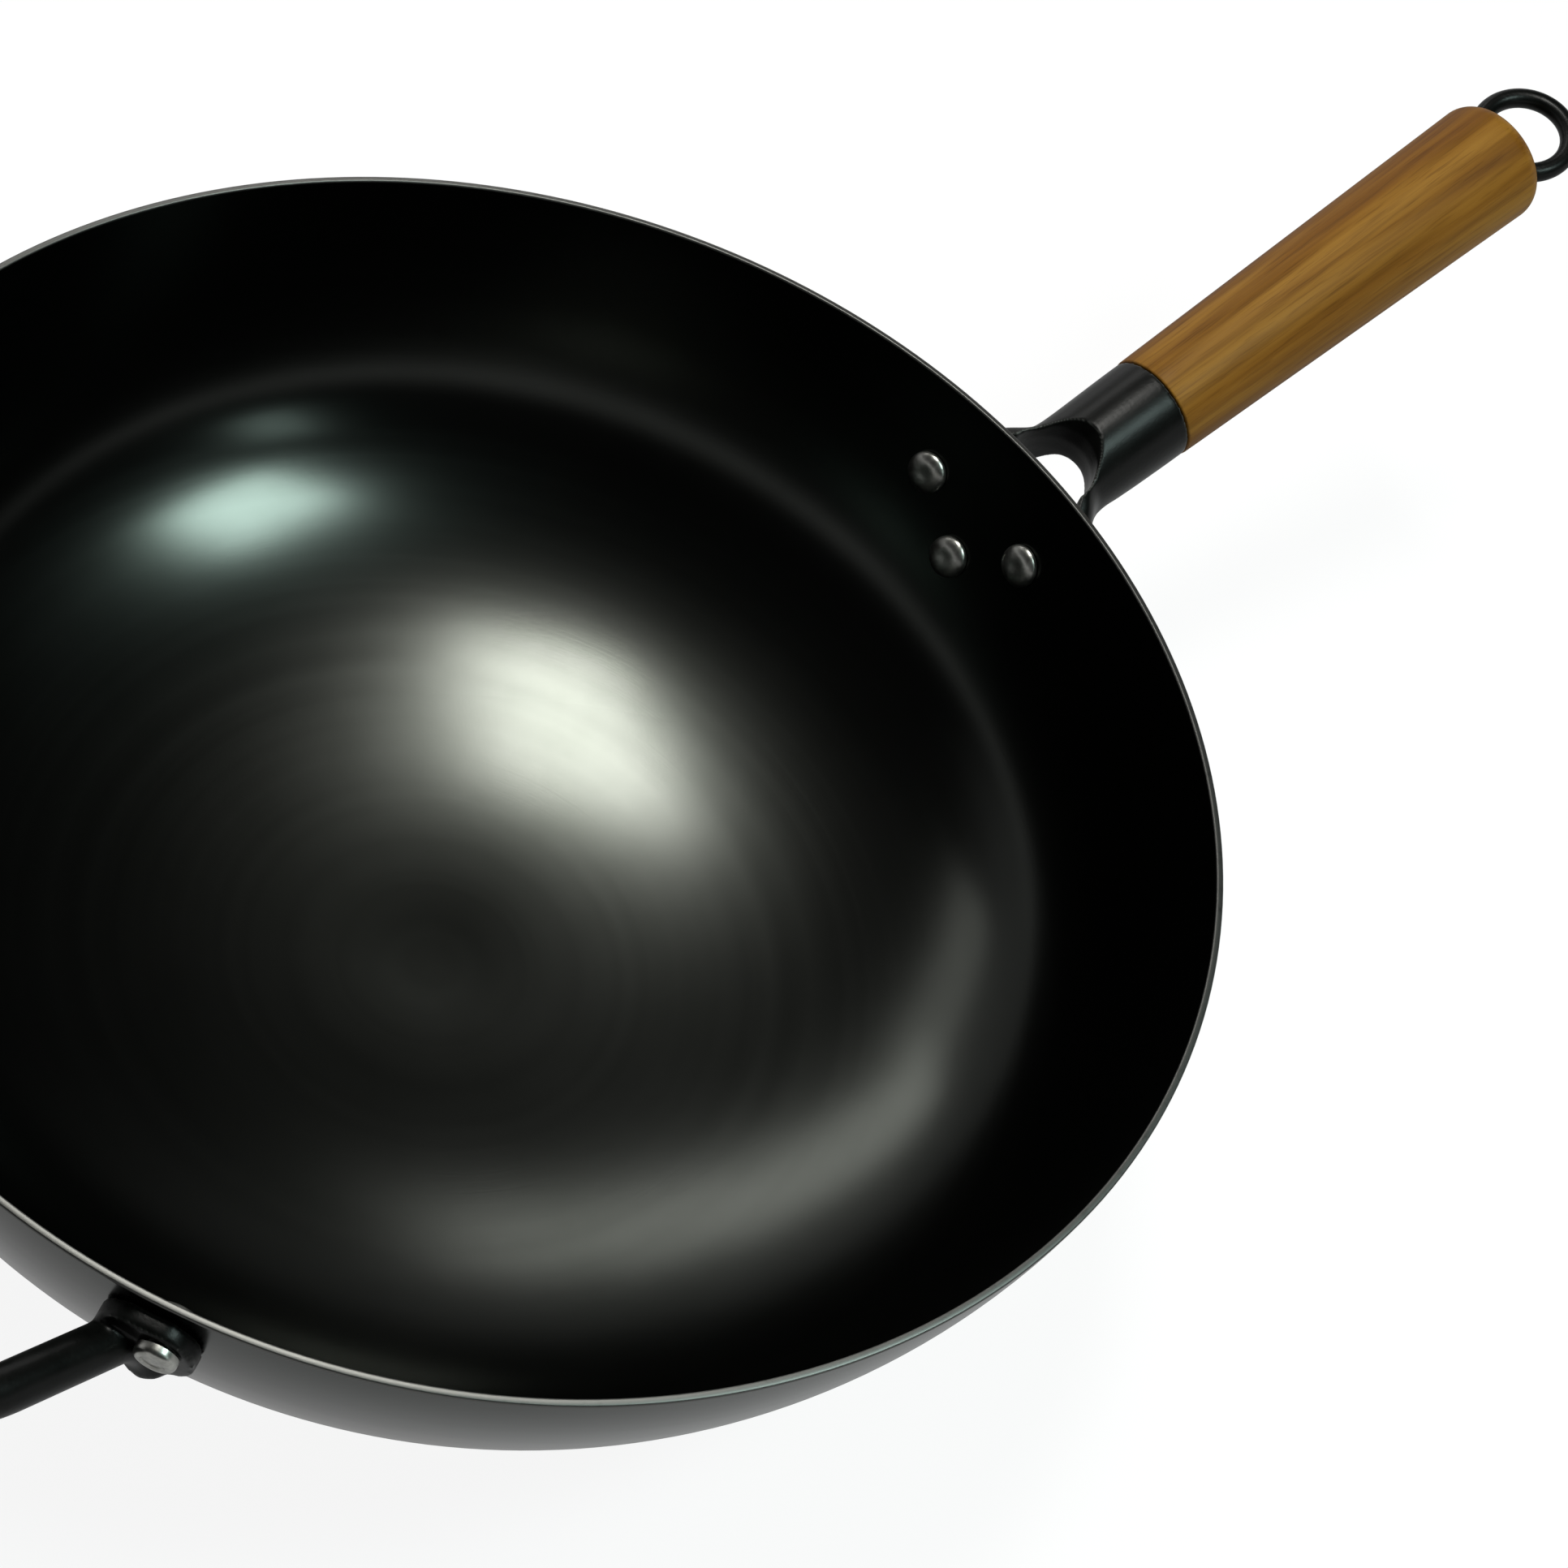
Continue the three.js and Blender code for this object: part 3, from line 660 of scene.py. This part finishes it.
def bracketTop(station):
    roundTop = bracketHalf(max(station, bracket["neckStation"]))
    onLegs = between(bracket["legTopAtWall"], bracket["legTop"], ease(*bracket["legTopRun"], station))
    return between(onLegs, roundTop, ease(*bracket["crownRun"], station))


def bracketFoot(station):
    roundFoot = -bracketHalf(max(station, bracket["neckStation"]))
    onLegs = between(bracket["legFootAtWall"], bracket["legFoot"], ease(*bracket["legFootRun"], station))
    return between(onLegs, roundFoot, ease(*bracket["heelRun"], station))


def bracketForm():  # round ferrule easing into a wide fork, hollowed below
    count = bracket["rings"]
    stations = [between(bracket["wallStart"], bracket["jointStation"], i / count) for i in range(count + 1)]
    rings = [(1, station) for station in stations]
    form = turnSolid("bracketForm", rings, bracket["segments"], pointed=False)
    for vertex in form.data.vertices:
        station = vertex.co.z / mm
        power = between(2 / bracket["sectionPower"], 1, ease(*bracket["sectionRun"], station))
        top, foot, half = bracketTop(station), bracketFoot(station), bracketHalf(station)
        x, y = vertex.co.x / mm, vertex.co.y / mm
        across = half * math.copysign(abs(x) ** power, x)
        tall = (top - foot) / 2
        if y < 0:
            scoop = bracket["scoop"] * (1 - ease(*bracket["scoopRun"], station))
            tall = scoop * (1 - (across / half) ** 2) - tall
        vertex.co = Vector((across, (top + foot) / 2 + tall * abs(y) ** power, station)) * mm
    return form


def crotchCutter():  # opening between the legs, its end leaning towards the wok below
    steps, levels, reach = bracket["crotchSteps"], bracket["crotchLevels"], bracket["crotchReach"]
    centre = bracket["crotchStation"] - bracket["crotchLength"]
    half = bracketHalf(centre) - bracket["legThickness"]
    side = []
    for i in range(steps + 1):
        station = between(bracket["crotchWallEnd"], centre, i / steps)
        side.append((bracketHalf(station) - bracket["legThickness"], station))
    for i in range(1, steps):
        angle = 90 * i / steps
        side.append((half * cosineOf(angle), centre + bracket["crotchLength"] * sineOf(angle)))
    mirrored = [(-across, station) for across, station in reversed(side)]
    outline = side + [(0, bracket["crotchStation"])] + mirrored
    deselectAll()
    bpy.ops.mesh.primitive_circle_add(vertices=len(outline), radius=1, fill_type="NGON", location=(0, 0, 0))
    cutter = bpy.context.object
    cutter.name = "crotchCutter"
    for vertex, (across, station) in zip(cutter.data.vertices, outline):
        vertex.co = Vector((across, -reach, station)) * mm
    bpy.ops.object.mode_set(mode="EDIT")
    bpy.ops.mesh.select_all(action="SELECT")
    step = (0, 2 * reach / levels * mm, 0)
    for level in range(levels):
        bpy.ops.mesh.extrude_region_move(TRANSFORM_OT_translate={"value": step})
    bpy.ops.object.mode_set(mode="OBJECT")
    depth = bracket["crotchLeanDepth"]
    for vertex in cutter.data.vertices:
        below = max(bracket["legTop"] - vertex.co.y / mm, -bracket["crotchLip"])
        vertex.co.z -= bracket["crotchLean"] * depth * (1 - math.exp(-below / depth)) * mm
    recalcNormals(cutter)
    return cutter


def plainCylinder(radius, start, end, place, segments):
    piece = turnSolid("plainCylinder", [(radius, start), (radius, end)], segments)
    settle(piece, place)
    return piece


upperFrames = [wallFrame(side * rivets["upperAngle"], rivets["upperDepth"]) for side in (1, -1)]
lowerFrame = wallFrame(0, rivets["lowerDepth"])
helperFrames = [wallFrame(180 + side * rivets["helperAngle"], rivets["helperDepth"]) for side in (-1, 1)]


def cutRivetHole(piece, place):
    hole = (rivets["shankRadius"] + fit, rivets["holeStart"], rivets["holeEnd"])
    combine(piece, plainCylinder(*hole, place, rivets["holeSegments"]), "DIFFERENCE")


def makeBracket():
    form = bracketForm()
    combine(form, crotchCutter(), "DIFFERENCE")
    settle(form, handlePlace)
    span = (rivets["lowerDepth"] - rivets["upperDepth"]) / sineOf(slopeAtDepth(rivets["upperDepth"]))
    width = 2 * (bracket["padTopHalf"] + bracket["padCorner"])
    lower = 2 * (bracket["padLowerHalf"] + bracket["padCorner"])
    tall = span + 2 * bracket["padCorner"]
    taper = 1 - lower / width
    pad = roundedPlate("bracketPad", width, tall, taper, bracket["padCorner"], bracket["padDepth"])
    middle = (rivets["upperDepth"] + rivets["lowerDepth"]) / 2
    combine(form, plateOnWall(pad, wallFrame(0, middle), bracket["padThickness"]), "UNION")
    combine(form, bowlBlock(fit, bowl["blockLift"]), "DIFFERENCE")
    floor = bracket["jointStation"] - bracket["tenonLength"] - fit
    bore = (bracket["tenonRadius"] + fit, floor, bracket["boreEnd"])
    combine(form, plainCylinder(*bore, handlePlace, bracket["boreSegments"]), "DIFFERENCE")
    rodHole = (eye["rodRadius"] + fit, floor - eye["rodHole"], floor + overlap)
    combine(form, plainCylinder(*rodHole, handlePlace, eye["holeSegments"]), "DIFFERENCE")
    for place in upperFrames + [lowerFrame]:
        cutRivetHole(form, place)
    closeGaps(form)
    reskin(form, bracket)
    form.name = "bracketFork"
    return form


eye = {
    "station": 195, "radius": 12.2, "wire": 2.62, "rodRadius": 3, "collarRadius": 5.8,
    "collarHeight": 3.6, "rodEngaged": 6.2, "rodHole": 6.5, "ringSegments": 96, "wireSegments": 28,
    "collarSegments": 48, "rodSegments": 40, "holeSegments": 32,
    "voxel": 0.4, "softening": 3, "smoothAngle": 60, "wearAndHighlight": (0.12, 0.3),
}
grip = {
    "startRadius": 14, "taper": 0.0209, "length": 121.5, "endRound": 5.8, "bore": 3.4, "edge": 0.5,
    "cupGap": 0.1, "seatDepth": 2.4, "lengthRings": 24, "endStep": 2, "endEvery": 3, "cupRings": 10,
    "segments": 96, "smoothAngle": 35, "wearAndHighlight": (0.08, 0.3),
}

bracketFork = makeBracket()
smoothShade(bracketFork, bracket["smoothAngle"])
# edges marked for wear and for the painted highlight line of the black coat
markWearAndHighlight(bracketFork, *bracket["wearAndHighlight"])
finishPiece(bracketFork, "wok", "handle_bracket", blackLook)


def makeRivet(name, place, plate):
    headSeat, upsetSeat = -bowl["sheet"] - fit, fit + plate + fit
    rings = []
    for i in range(1, rivets["headRings"] + 1):
        angle = 90 * i / rivets["headRings"]
        radius = rivets["headRadius"] * sineOf(angle)
        rise = rivets["headEdge"] + (rivets["headRise"] - rivets["headEdge"]) * cosineOf(angle)
        rise -= rivets["dimple"] * math.exp(-(radius / rivets["dimpleRadius"]) ** 2)
        rings.append((radius, headSeat - rise))
    chamfer = rivets["headChamfer"]
    rings += [(rivets["headRadius"], headSeat - chamfer), (rivets["headRadius"] - chamfer, headSeat)]
    rings += [(rivets["shankRadius"], headSeat), (rivets["shankRadius"], upsetSeat)]
    chamfer = rivets["upsetChamfer"]
    rings += [(rivets["upsetRadius"] - chamfer, upsetSeat), (rivets["upsetRadius"], upsetSeat + chamfer)]
    for i in range(rivets["crownRings"] + 1):
        angle = 90 * i / rivets["crownRings"]
        radius = rivets["upsetRadius"] * between(rivets["crownTop"], 1, cosineOf(angle))
        crown = rivets["upsetRise"] * between(rivets["crownSide"], 1, sineOf(angle))
        rings.append((radius, upsetSeat + crown))
    top = upsetSeat + rivets["upsetRise"]
    rings += [(rivets["upsetRadius"] * share, top - depth) for share, depth in rivets["hollow"]]
    tip, depth = rivets["hollowTip"]
    rings.append((tip, top - depth))
    rivet = turnSolid(name, rings, rivets["segments"])
    settle(rivet, place)
    smoothShade(rivet, rivets["smoothAngle"])
    return rivet


rivetPlaces = [
    ("rivetUpperLeft", "handle_rivet_left", upperFrames[0], bracket["padThickness"]),
    ("rivetUpperRight", "handle_rivet_right", upperFrames[1], bracket["padThickness"]),
    ("rivetLower", "handle_rivet_lower", lowerFrame, bracket["padThickness"]),
    ("rivetHelperLeft", "helper_rivet_left", helperFrames[0], rivets["helperPlate"]),
    ("rivetHelperRight", "helper_rivet_right", helperFrames[1], rivets["helperPlate"]),
]
for name, node, place, plate in rivetPlaces:
    finishPiece(makeRivet(name, place, plate), "wok", node, rivetLook)


# hollow cup in the grip's end for the ring, and the flat seat of its collar
cupRadius = eye["radius"] + eye["wire"] + fit + grip["cupGap"]
seatRadius = eye["collarRadius"] + fit + grip["cupGap"]
seatStation = eye["station"] - math.sqrt(cupRadius ** 2 - seatRadius ** 2) - grip["seatDepth"]


def gripRings():
    start = bracket["jointStation"] + fit
    end = start + grip["length"]
    tenonEnd = start - bracket["tenonLength"]
    rings = [(grip["bore"], tenonEnd), (bracket["tenonRadius"], tenonEnd), (bracket["tenonRadius"], start)]
    for angle in quarter:
        rings.append((
            grip["startRadius"] - grip["edge"] * (1 - sineOf(angle)),
            start + grip["edge"] * (1 - cosineOf(angle)),
        ))
    for i in range(1, grip["lengthRings"] + 1):
        along = grip["length"] * i / grip["lengthRings"]
        rings.append((grip["startRadius"] + grip["taper"] * along, start + along))
    endRadius = grip["startRadius"] + grip["taper"] * grip["length"]
    lip = rings[-1]
    for i in range(1, 90 // grip["endStep"] + 1):  # round the end as far as the cup
        angle = grip["endStep"] * i
        point = (endRadius - grip["endRound"] * (1 - cosineOf(angle)), end + grip["endRound"] * sineOf(angle))
        if math.hypot(point[0], eye["station"] - point[1]) > cupRadius:
            lip = point
            if i % grip["endEvery"] == 0:
                rings.append(point)
    lipAngle = math.atan2(lip[0], eye["station"] - lip[1])
    seatAngle = math.asin(seatRadius / cupRadius)
    for i in range(grip["cupRings"] + 1):
        angle = between(lipAngle, seatAngle, i / grip["cupRings"])
        rings.append((cupRadius * math.sin(angle), eye["station"] - cupRadius * math.cos(angle)))
    return rings + [(seatRadius, seatStation), (grip["bore"], seatStation), (grip["bore"], tenonEnd)]


turnedGrip = turnRings("turnedGrip", gripRings(), grip["segments"])
recalcNormals(turnedGrip)
settle(turnedGrip, handlePlace)
smoothShade(turnedGrip, grip["smoothAngle"])
markWearAndHighlight(turnedGrip, *grip["wearAndHighlight"])
finishPiece(turnedGrip, "wok", "wood_grip", woodLook)


def makeEye():
    deselectAll()
    bpy.ops.mesh.primitive_torus_add(
        major_radius=eye["radius"] * mm, minor_radius=eye["wire"] * mm,
        major_segments=eye["ringSegments"], minor_segments=eye["wireSegments"],
        rotation=(math.pi / 2, 0, 0), location=(0, 0, eye["station"] * mm),
    )
    ring = bpy.context.object
    ring.name = "hangingRing"
    settle(ring)
    collarStart = seatStation + fit
    rodEnd = bracket["jointStation"] - bracket["tenonLength"] - fit - eye["rodEngaged"]
    still = Matrix.Identity(4)
    collar = (eye["collarRadius"], collarStart, collarStart + eye["collarHeight"])
    combine(ring, plainCylinder(*collar, still, eye["collarSegments"]), "UNION")
    rod = (eye["rodRadius"], rodEnd, collarStart + overlap)
    combine(ring, plainCylinder(*rod, still, eye["rodSegments"]), "UNION")
    settle(ring, handlePlace)
    reskin(ring, eye)
    return ring


hangingRing = makeEye()
smoothShade(hangingRing, eye["smoothAngle"])
# edges marked for wear and for the painted highlight line of the black coat
markWearAndHighlight(hangingRing, *eye["wearAndHighlight"])
finishPiece(hangingRing, "eye", "hanging_eye", blackLook)


# helper handle

helper = {
    "barRadius": 4.8, "barSegments": 32, "bendSteps": 18, "legOffset": 67.6, "legDepth": 15.5, "rise": 19.2,
    "reach": 64, "corner": 32, "lead": 12,
    "footThickness": rivets["helperPlate"], "footAngle": 26.3, "footWidth": 20.4, "footTop": 2.6,
    "footBottom": 22.5, "footCorner": 8, "footDepth": 14,
    "flare": 5, "flareStart": 1.5, "flareInset": 0.2, "flareRoot": -10, "flareRings": 8, "flareSegments": 64,
    "spotSegments": 48, "joinVoxel": 0.6, "voxel": 0.5, "softening": 6,
    "smoothAngle": 60, "wearAndHighlight": (0.07, 0.22),
}


def helperBar():  # bar drawn out, bent and drawn out again
    straight = helper["reach"] - helper["corner"] + helper["lead"]
    side = helper["legOffset"]
    inner = side - helper["corner"]
    deselectAll()
    bpy.ops.mesh.primitive_circle_add(
        vertices=helper["barSegments"], radius=helper["barRadius"] * mm, fill_type="NGON",
        location=(side * mm, -helper["lead"] * mm, 0), rotation=(math.pi / 2, 0, 0),
    )
    bar = bpy.context.object
    bar.name = "helperLoop"
    settle(bar)
    bpy.ops.object.mode_set(mode="EDIT")
    bpy.ops.mesh.select_all(action="SELECT")
    bpy.ops.mesh.extrude_region_move(TRANSFORM_OT_translate={"value": (0, straight * mm, 0)})
    bendCentre = (inner * mm, (helper["reach"] - helper["corner"]) * mm, 0)
    bpy.ops.mesh.spin(steps=helper["bendSteps"], angle=-math.pi / 2, center=bendCentre, axis=(0, 0, 1))
    bpy.ops.mesh.extrude_region_move(TRANSFORM_OT_translate={"value": (-2 * inner * mm, 0, 0)})
    bendCentre = (-inner * mm, bendCentre[1], 0)
    bpy.ops.mesh.spin(steps=helper["bendSteps"], angle=-math.pi / 2, center=bendCentre, axis=(0, 0, 1))
    bpy.ops.mesh.extrude_region_move(TRANSFORM_OT_translate={"value": (0, -straight * mm, 0)})
    bpy.ops.object.mode_set(mode="OBJECT")
    recalcNormals(bar)
    settle(bar, helperPlace)
    return bar


def helperFrame():  # X across the loop, Y out along it
    wallRadius = wallPoint(slopeAtDepth(helper["legDepth"]), 0)[0]
    along = Vector((-cosineOf(helper["rise"]), 0, sineOf(helper["rise"])))
    across = Vector((0, -1, 0))
    place = Matrix((across, along, across.cross(along))).transposed().to_4x4()
    foot = -math.sqrt(wallRadius ** 2 - helper["legOffset"] ** 2)
    place.translation = Vector((foot, 0, rimHeight - helper["legDepth"])) * mm
    return place


helperPlace = helperFrame()


def footPlate(side, inset):
    middle = (helper["footTop"] + helper["footBottom"]) / 2
    width = helper["footWidth"] - 2 * inset
    tall = helper["footBottom"] - helper["footTop"] - 2 * inset
    depth = helper["footDepth"] - inset
    plate = roundedPlate("helperFoot", width, tall, 0, helper["footCorner"], depth)
    return plate, wallFrame(180 + side * helper["footAngle"], middle)


def footFlare(side):  # the bar swelling into its foot like a trumpet
    bell, start, bar = helper["flare"], helper["flareStart"], helper["barRadius"]
    rings = [(bar + bell, helper["flareRoot"])]
    for i in range(helper["flareRings"] + 1):
        angle = 90 * i / helper["flareRings"]
        rings.append((bar + bell * (1 - sineOf(angle)), start + bell * (1 - cosineOf(angle))))
    flare = turnSolid("footFlare", rings, helper["flareSegments"])
    outward = Matrix.Rotation(-math.pi / 2, 4, "X")
    settle(flare, helperPlace @ Matrix.Translation((side * helper["legOffset"] * mm, 0, 0)) @ outward)
    plate, place = footPlate(side, helper["flareInset"])
    settle(plate, place)
    combine(flare, plate, "INTERSECT")
    return flare


def makeHelper():
    bar = helperBar()
    feet = []
    for side in (-1, 1):
        plate, place = footPlate(side, 0)
        feet += [plateOnWall(plate, place, helper["footThickness"]), footFlare(side)]
    useOnly(bar)
    for foot in feet:
        foot.select_set(True)
    bpy.ops.object.join()
    # one skin round bar and feet, before the wall is cut out of it
    applyModifier(bar, "REMESH", mode="VOXEL", voxel_size=helper["joinVoxel"] * mm)
    combine(bar, bowlBlock(fit, bowl["blockLift"]), "DIFFERENCE")
    seat = fit + helper["footThickness"]
    spot = (rivets["upsetRadius"] + rivets["spotGap"], seat, seat + rivets["spotRises"] * rivets["upsetRise"])
    for place in helperFrames:
        cutRivetHole(bar, place)
        combine(bar, plainCylinder(*spot, place, helper["spotSegments"]), "DIFFERENCE")
    closeGaps(bar)
    reskin(bar, helper)
    return bar


helperLoop = makeHelper()
smoothShade(helperLoop, helper["smoothAngle"])
# edges marked for wear and for the painted highlight line of the black coat
markWearAndHighlight(helperLoop, *helper["wearAndHighlight"])
finishPiece(helperLoop, "wok", "helper_handle", blackLook)


# floor and light

studio = {
    "floorSize": 6.0, "floorHeight": -0.0004, "floorTone": 0.86, "floorRoughness": 0.9,
    "floorGlow": 1.06, "mirroredGlow": 0.5, "glowShare": 0.85,
    "skyTone": 0.02, "bandTone": 0.3, "bandTop": 0.45, "bandEnd": 0.62,
    "bandTurn": 80, "bandSide": (0.4, 0.85),
    "lowTone": 0.8, "lowTop": 0.16, "lowEnd": 0.3,
    "key": {
        "aim": (0.06, 0.03, 0.004), "turn": 52.5, "rise": 78.9, "distance": 1.2,
        "width": 0.22, "height": 0.34, "power": 6.9, "color": (1.0, 0.99, 0.94),
    },
    "cool": {
        "aim": (0.035, 0.123, 0.02), "turn": -66.5, "rise": 55.5, "distance": 1.2,
        "width": 0.3, "height": 0.28, "power": 5, "color": (0.78, 1.0, 0.96),
    },
    "coolLow": {
        "aim": (0.035, 0.123, 0.02), "turn": -86, "rise": 33, "distance": 1.2,
        "width": 0.16, "height": 0.26, "power": 0.32, "color": (0.78, 1.0, 0.96),
    },
    "strip": {
        "aim": (-0.03, -0.09, 0.01), "turn": 60, "rise": 33.4, "distance": 1.2,
        "width": 0.62, "height": 0.18, "power": 1.35, "color": (1.0, 0.99, 0.96),
    },
    "stripEnd": {
        "aim": (-0.03, -0.09, 0.01), "turn": 88, "rise": 37, "distance": 1.2,
        "width": 0.44, "height": 0.18, "power": 0.36, "color": (1.0, 0.99, 0.96),
    },
}


def softLamp(name, values):
    turn, rise = values["turn"], values["rise"]
    toward = Vector((cosineOf(rise) * cosineOf(turn), cosineOf(rise) * sineOf(turn), sineOf(rise)))
    data = bpy.data.lights.new(name, "AREA")
    data.shape = "RECTANGLE"
    data.size = values["width"]
    data.size_y = values["height"]
    data.energy = values["power"]
    data.color = values["color"]
    lamp = bpy.data.objects.new(name, data)
    bpy.context.scene.collection.objects.link(lamp)
    lamp.location = Vector(values["aim"]) + toward * values["distance"]
    lamp.rotation_euler = toward.to_track_quat("Z", "Y").to_euler()


for lampName in ("key", "cool", "coolLow", "strip", "stripEnd"):
    softLamp(lampName + "Lamp", studio[lampName])


def paleFloor():
    deselectAll()
    bpy.ops.mesh.primitive_plane_add(size=studio["floorSize"], location=(0, 0, studio["floorHeight"]))
    floor = bpy.context.object
    floor.name = "paleFloor"
    material, nodes, links, shader = newMaterial("paleFloor")
    shader.inputs["Base Color"].default_value = (studio["floorTone"],) * 3 + (1,)
    shader.inputs["Roughness"].default_value = studio["floorRoughness"]
    glow = nodes.new("ShaderNodeEmission")
    path = nodes.new("ShaderNodeLightPath")
    strength = addRange(nodes, studio["mirroredGlow"], studio["floorGlow"])
    links.new(path.outputs["Is Camera Ray"], strength.inputs["Value"])
    links.new(strength.outputs["Result"], glow.inputs["Strength"])
    seen = addNode(nodes, "ShaderNodeMath", operation="MAXIMUM")
    links.new(path.outputs["Is Camera Ray"], seen.inputs[0])
    links.new(path.outputs["Is Glossy Ray"], seen.inputs[1])
    share = addNode(nodes, "ShaderNodeMath", operation="MULTIPLY")
    share.inputs[1].default_value = studio["glowShare"]
    links.new(seen.outputs[0], share.inputs[0])
    mix = nodes.new("ShaderNodeMixShader")
    links.new(share.outputs[0], mix.inputs[0])
    links.new(shader.outputs[0], mix.inputs[1])
    links.new(glow.outputs[0], mix.inputs[2])
    links.new(mix.outputs[0], nodes["Material Output"].inputs["Surface"])
    floor.data.materials.append(material)


paleFloor()


def studioWorld():  # dark room, pale band low on the far side, white where the camera looks past the floor
    world = bpy.data.worlds.new("studioWorld")
    bpy.context.scene.world = world
    world.use_nodes = True
    nodes, links = world.node_tree.nodes, world.node_tree.links
    place = nodes.new("ShaderNodeTexCoord")
    split = nodes.new("ShaderNodeSeparateXYZ")
    links.new(place.outputs["Generated"], split.inputs[0])
    lift = addRamp(nodes, [(0.0, (1, 1, 1)), (studio["bandTop"], (1, 1, 1)), (studio["bandEnd"], (0, 0, 0))])
    links.new(split.outputs["Z"], lift.inputs["Fac"])
    facing = addNode(nodes, "ShaderNodeVectorMath", operation="DOT_PRODUCT")
    facing.inputs[1].default_value = (cosineOf(studio["bandTurn"]), sineOf(studio["bandTurn"]), 0)
    links.new(place.outputs["Generated"], facing.inputs[0])
    fade = dict(zip(("From Min", "From Max"), studio["bandSide"]))
    side = addNode(nodes, "ShaderNodeMapRange", interpolation_type="SMOOTHSTEP", **fade)
    links.new(facing.outputs["Value"], side.inputs["Value"])
    band = addNode(nodes, "ShaderNodeMath", operation="MULTIPLY")
    links.new(lift.outputs["Color"], band.inputs[0])
    links.new(side.outputs["Result"], band.inputs[1])
    tone = addNode(nodes, "ShaderNodeMath", operation="MULTIPLY_ADD")
    links.new(band.outputs[0], tone.inputs[0])
    tone.inputs[1].default_value = studio["bandTone"]
    low = addRamp(nodes, [
        (0.0, (studio["lowTone"],) * 3),
        (studio["lowTop"], (studio["lowTone"],) * 3),
        (studio["lowEnd"], (studio["skyTone"],) * 3),
    ])
    links.new(split.outputs["Z"], low.inputs["Fac"])
    links.new(low.outputs["Color"], tone.inputs[2])
    path = nodes.new("ShaderNodeLightPath")
    shown = addNode(nodes, "ShaderNodeMath", operation="MAXIMUM")
    links.new(tone.outputs[0], shown.inputs[0])
    links.new(path.outputs["Is Camera Ray"], shown.inputs[1])
    nodes["Background"].inputs["Color"].default_value = (1, 1, 1, 1)
    links.new(shown.outputs[0], nodes["Background"].inputs["Strength"])


studioWorld()
print("studio lit")
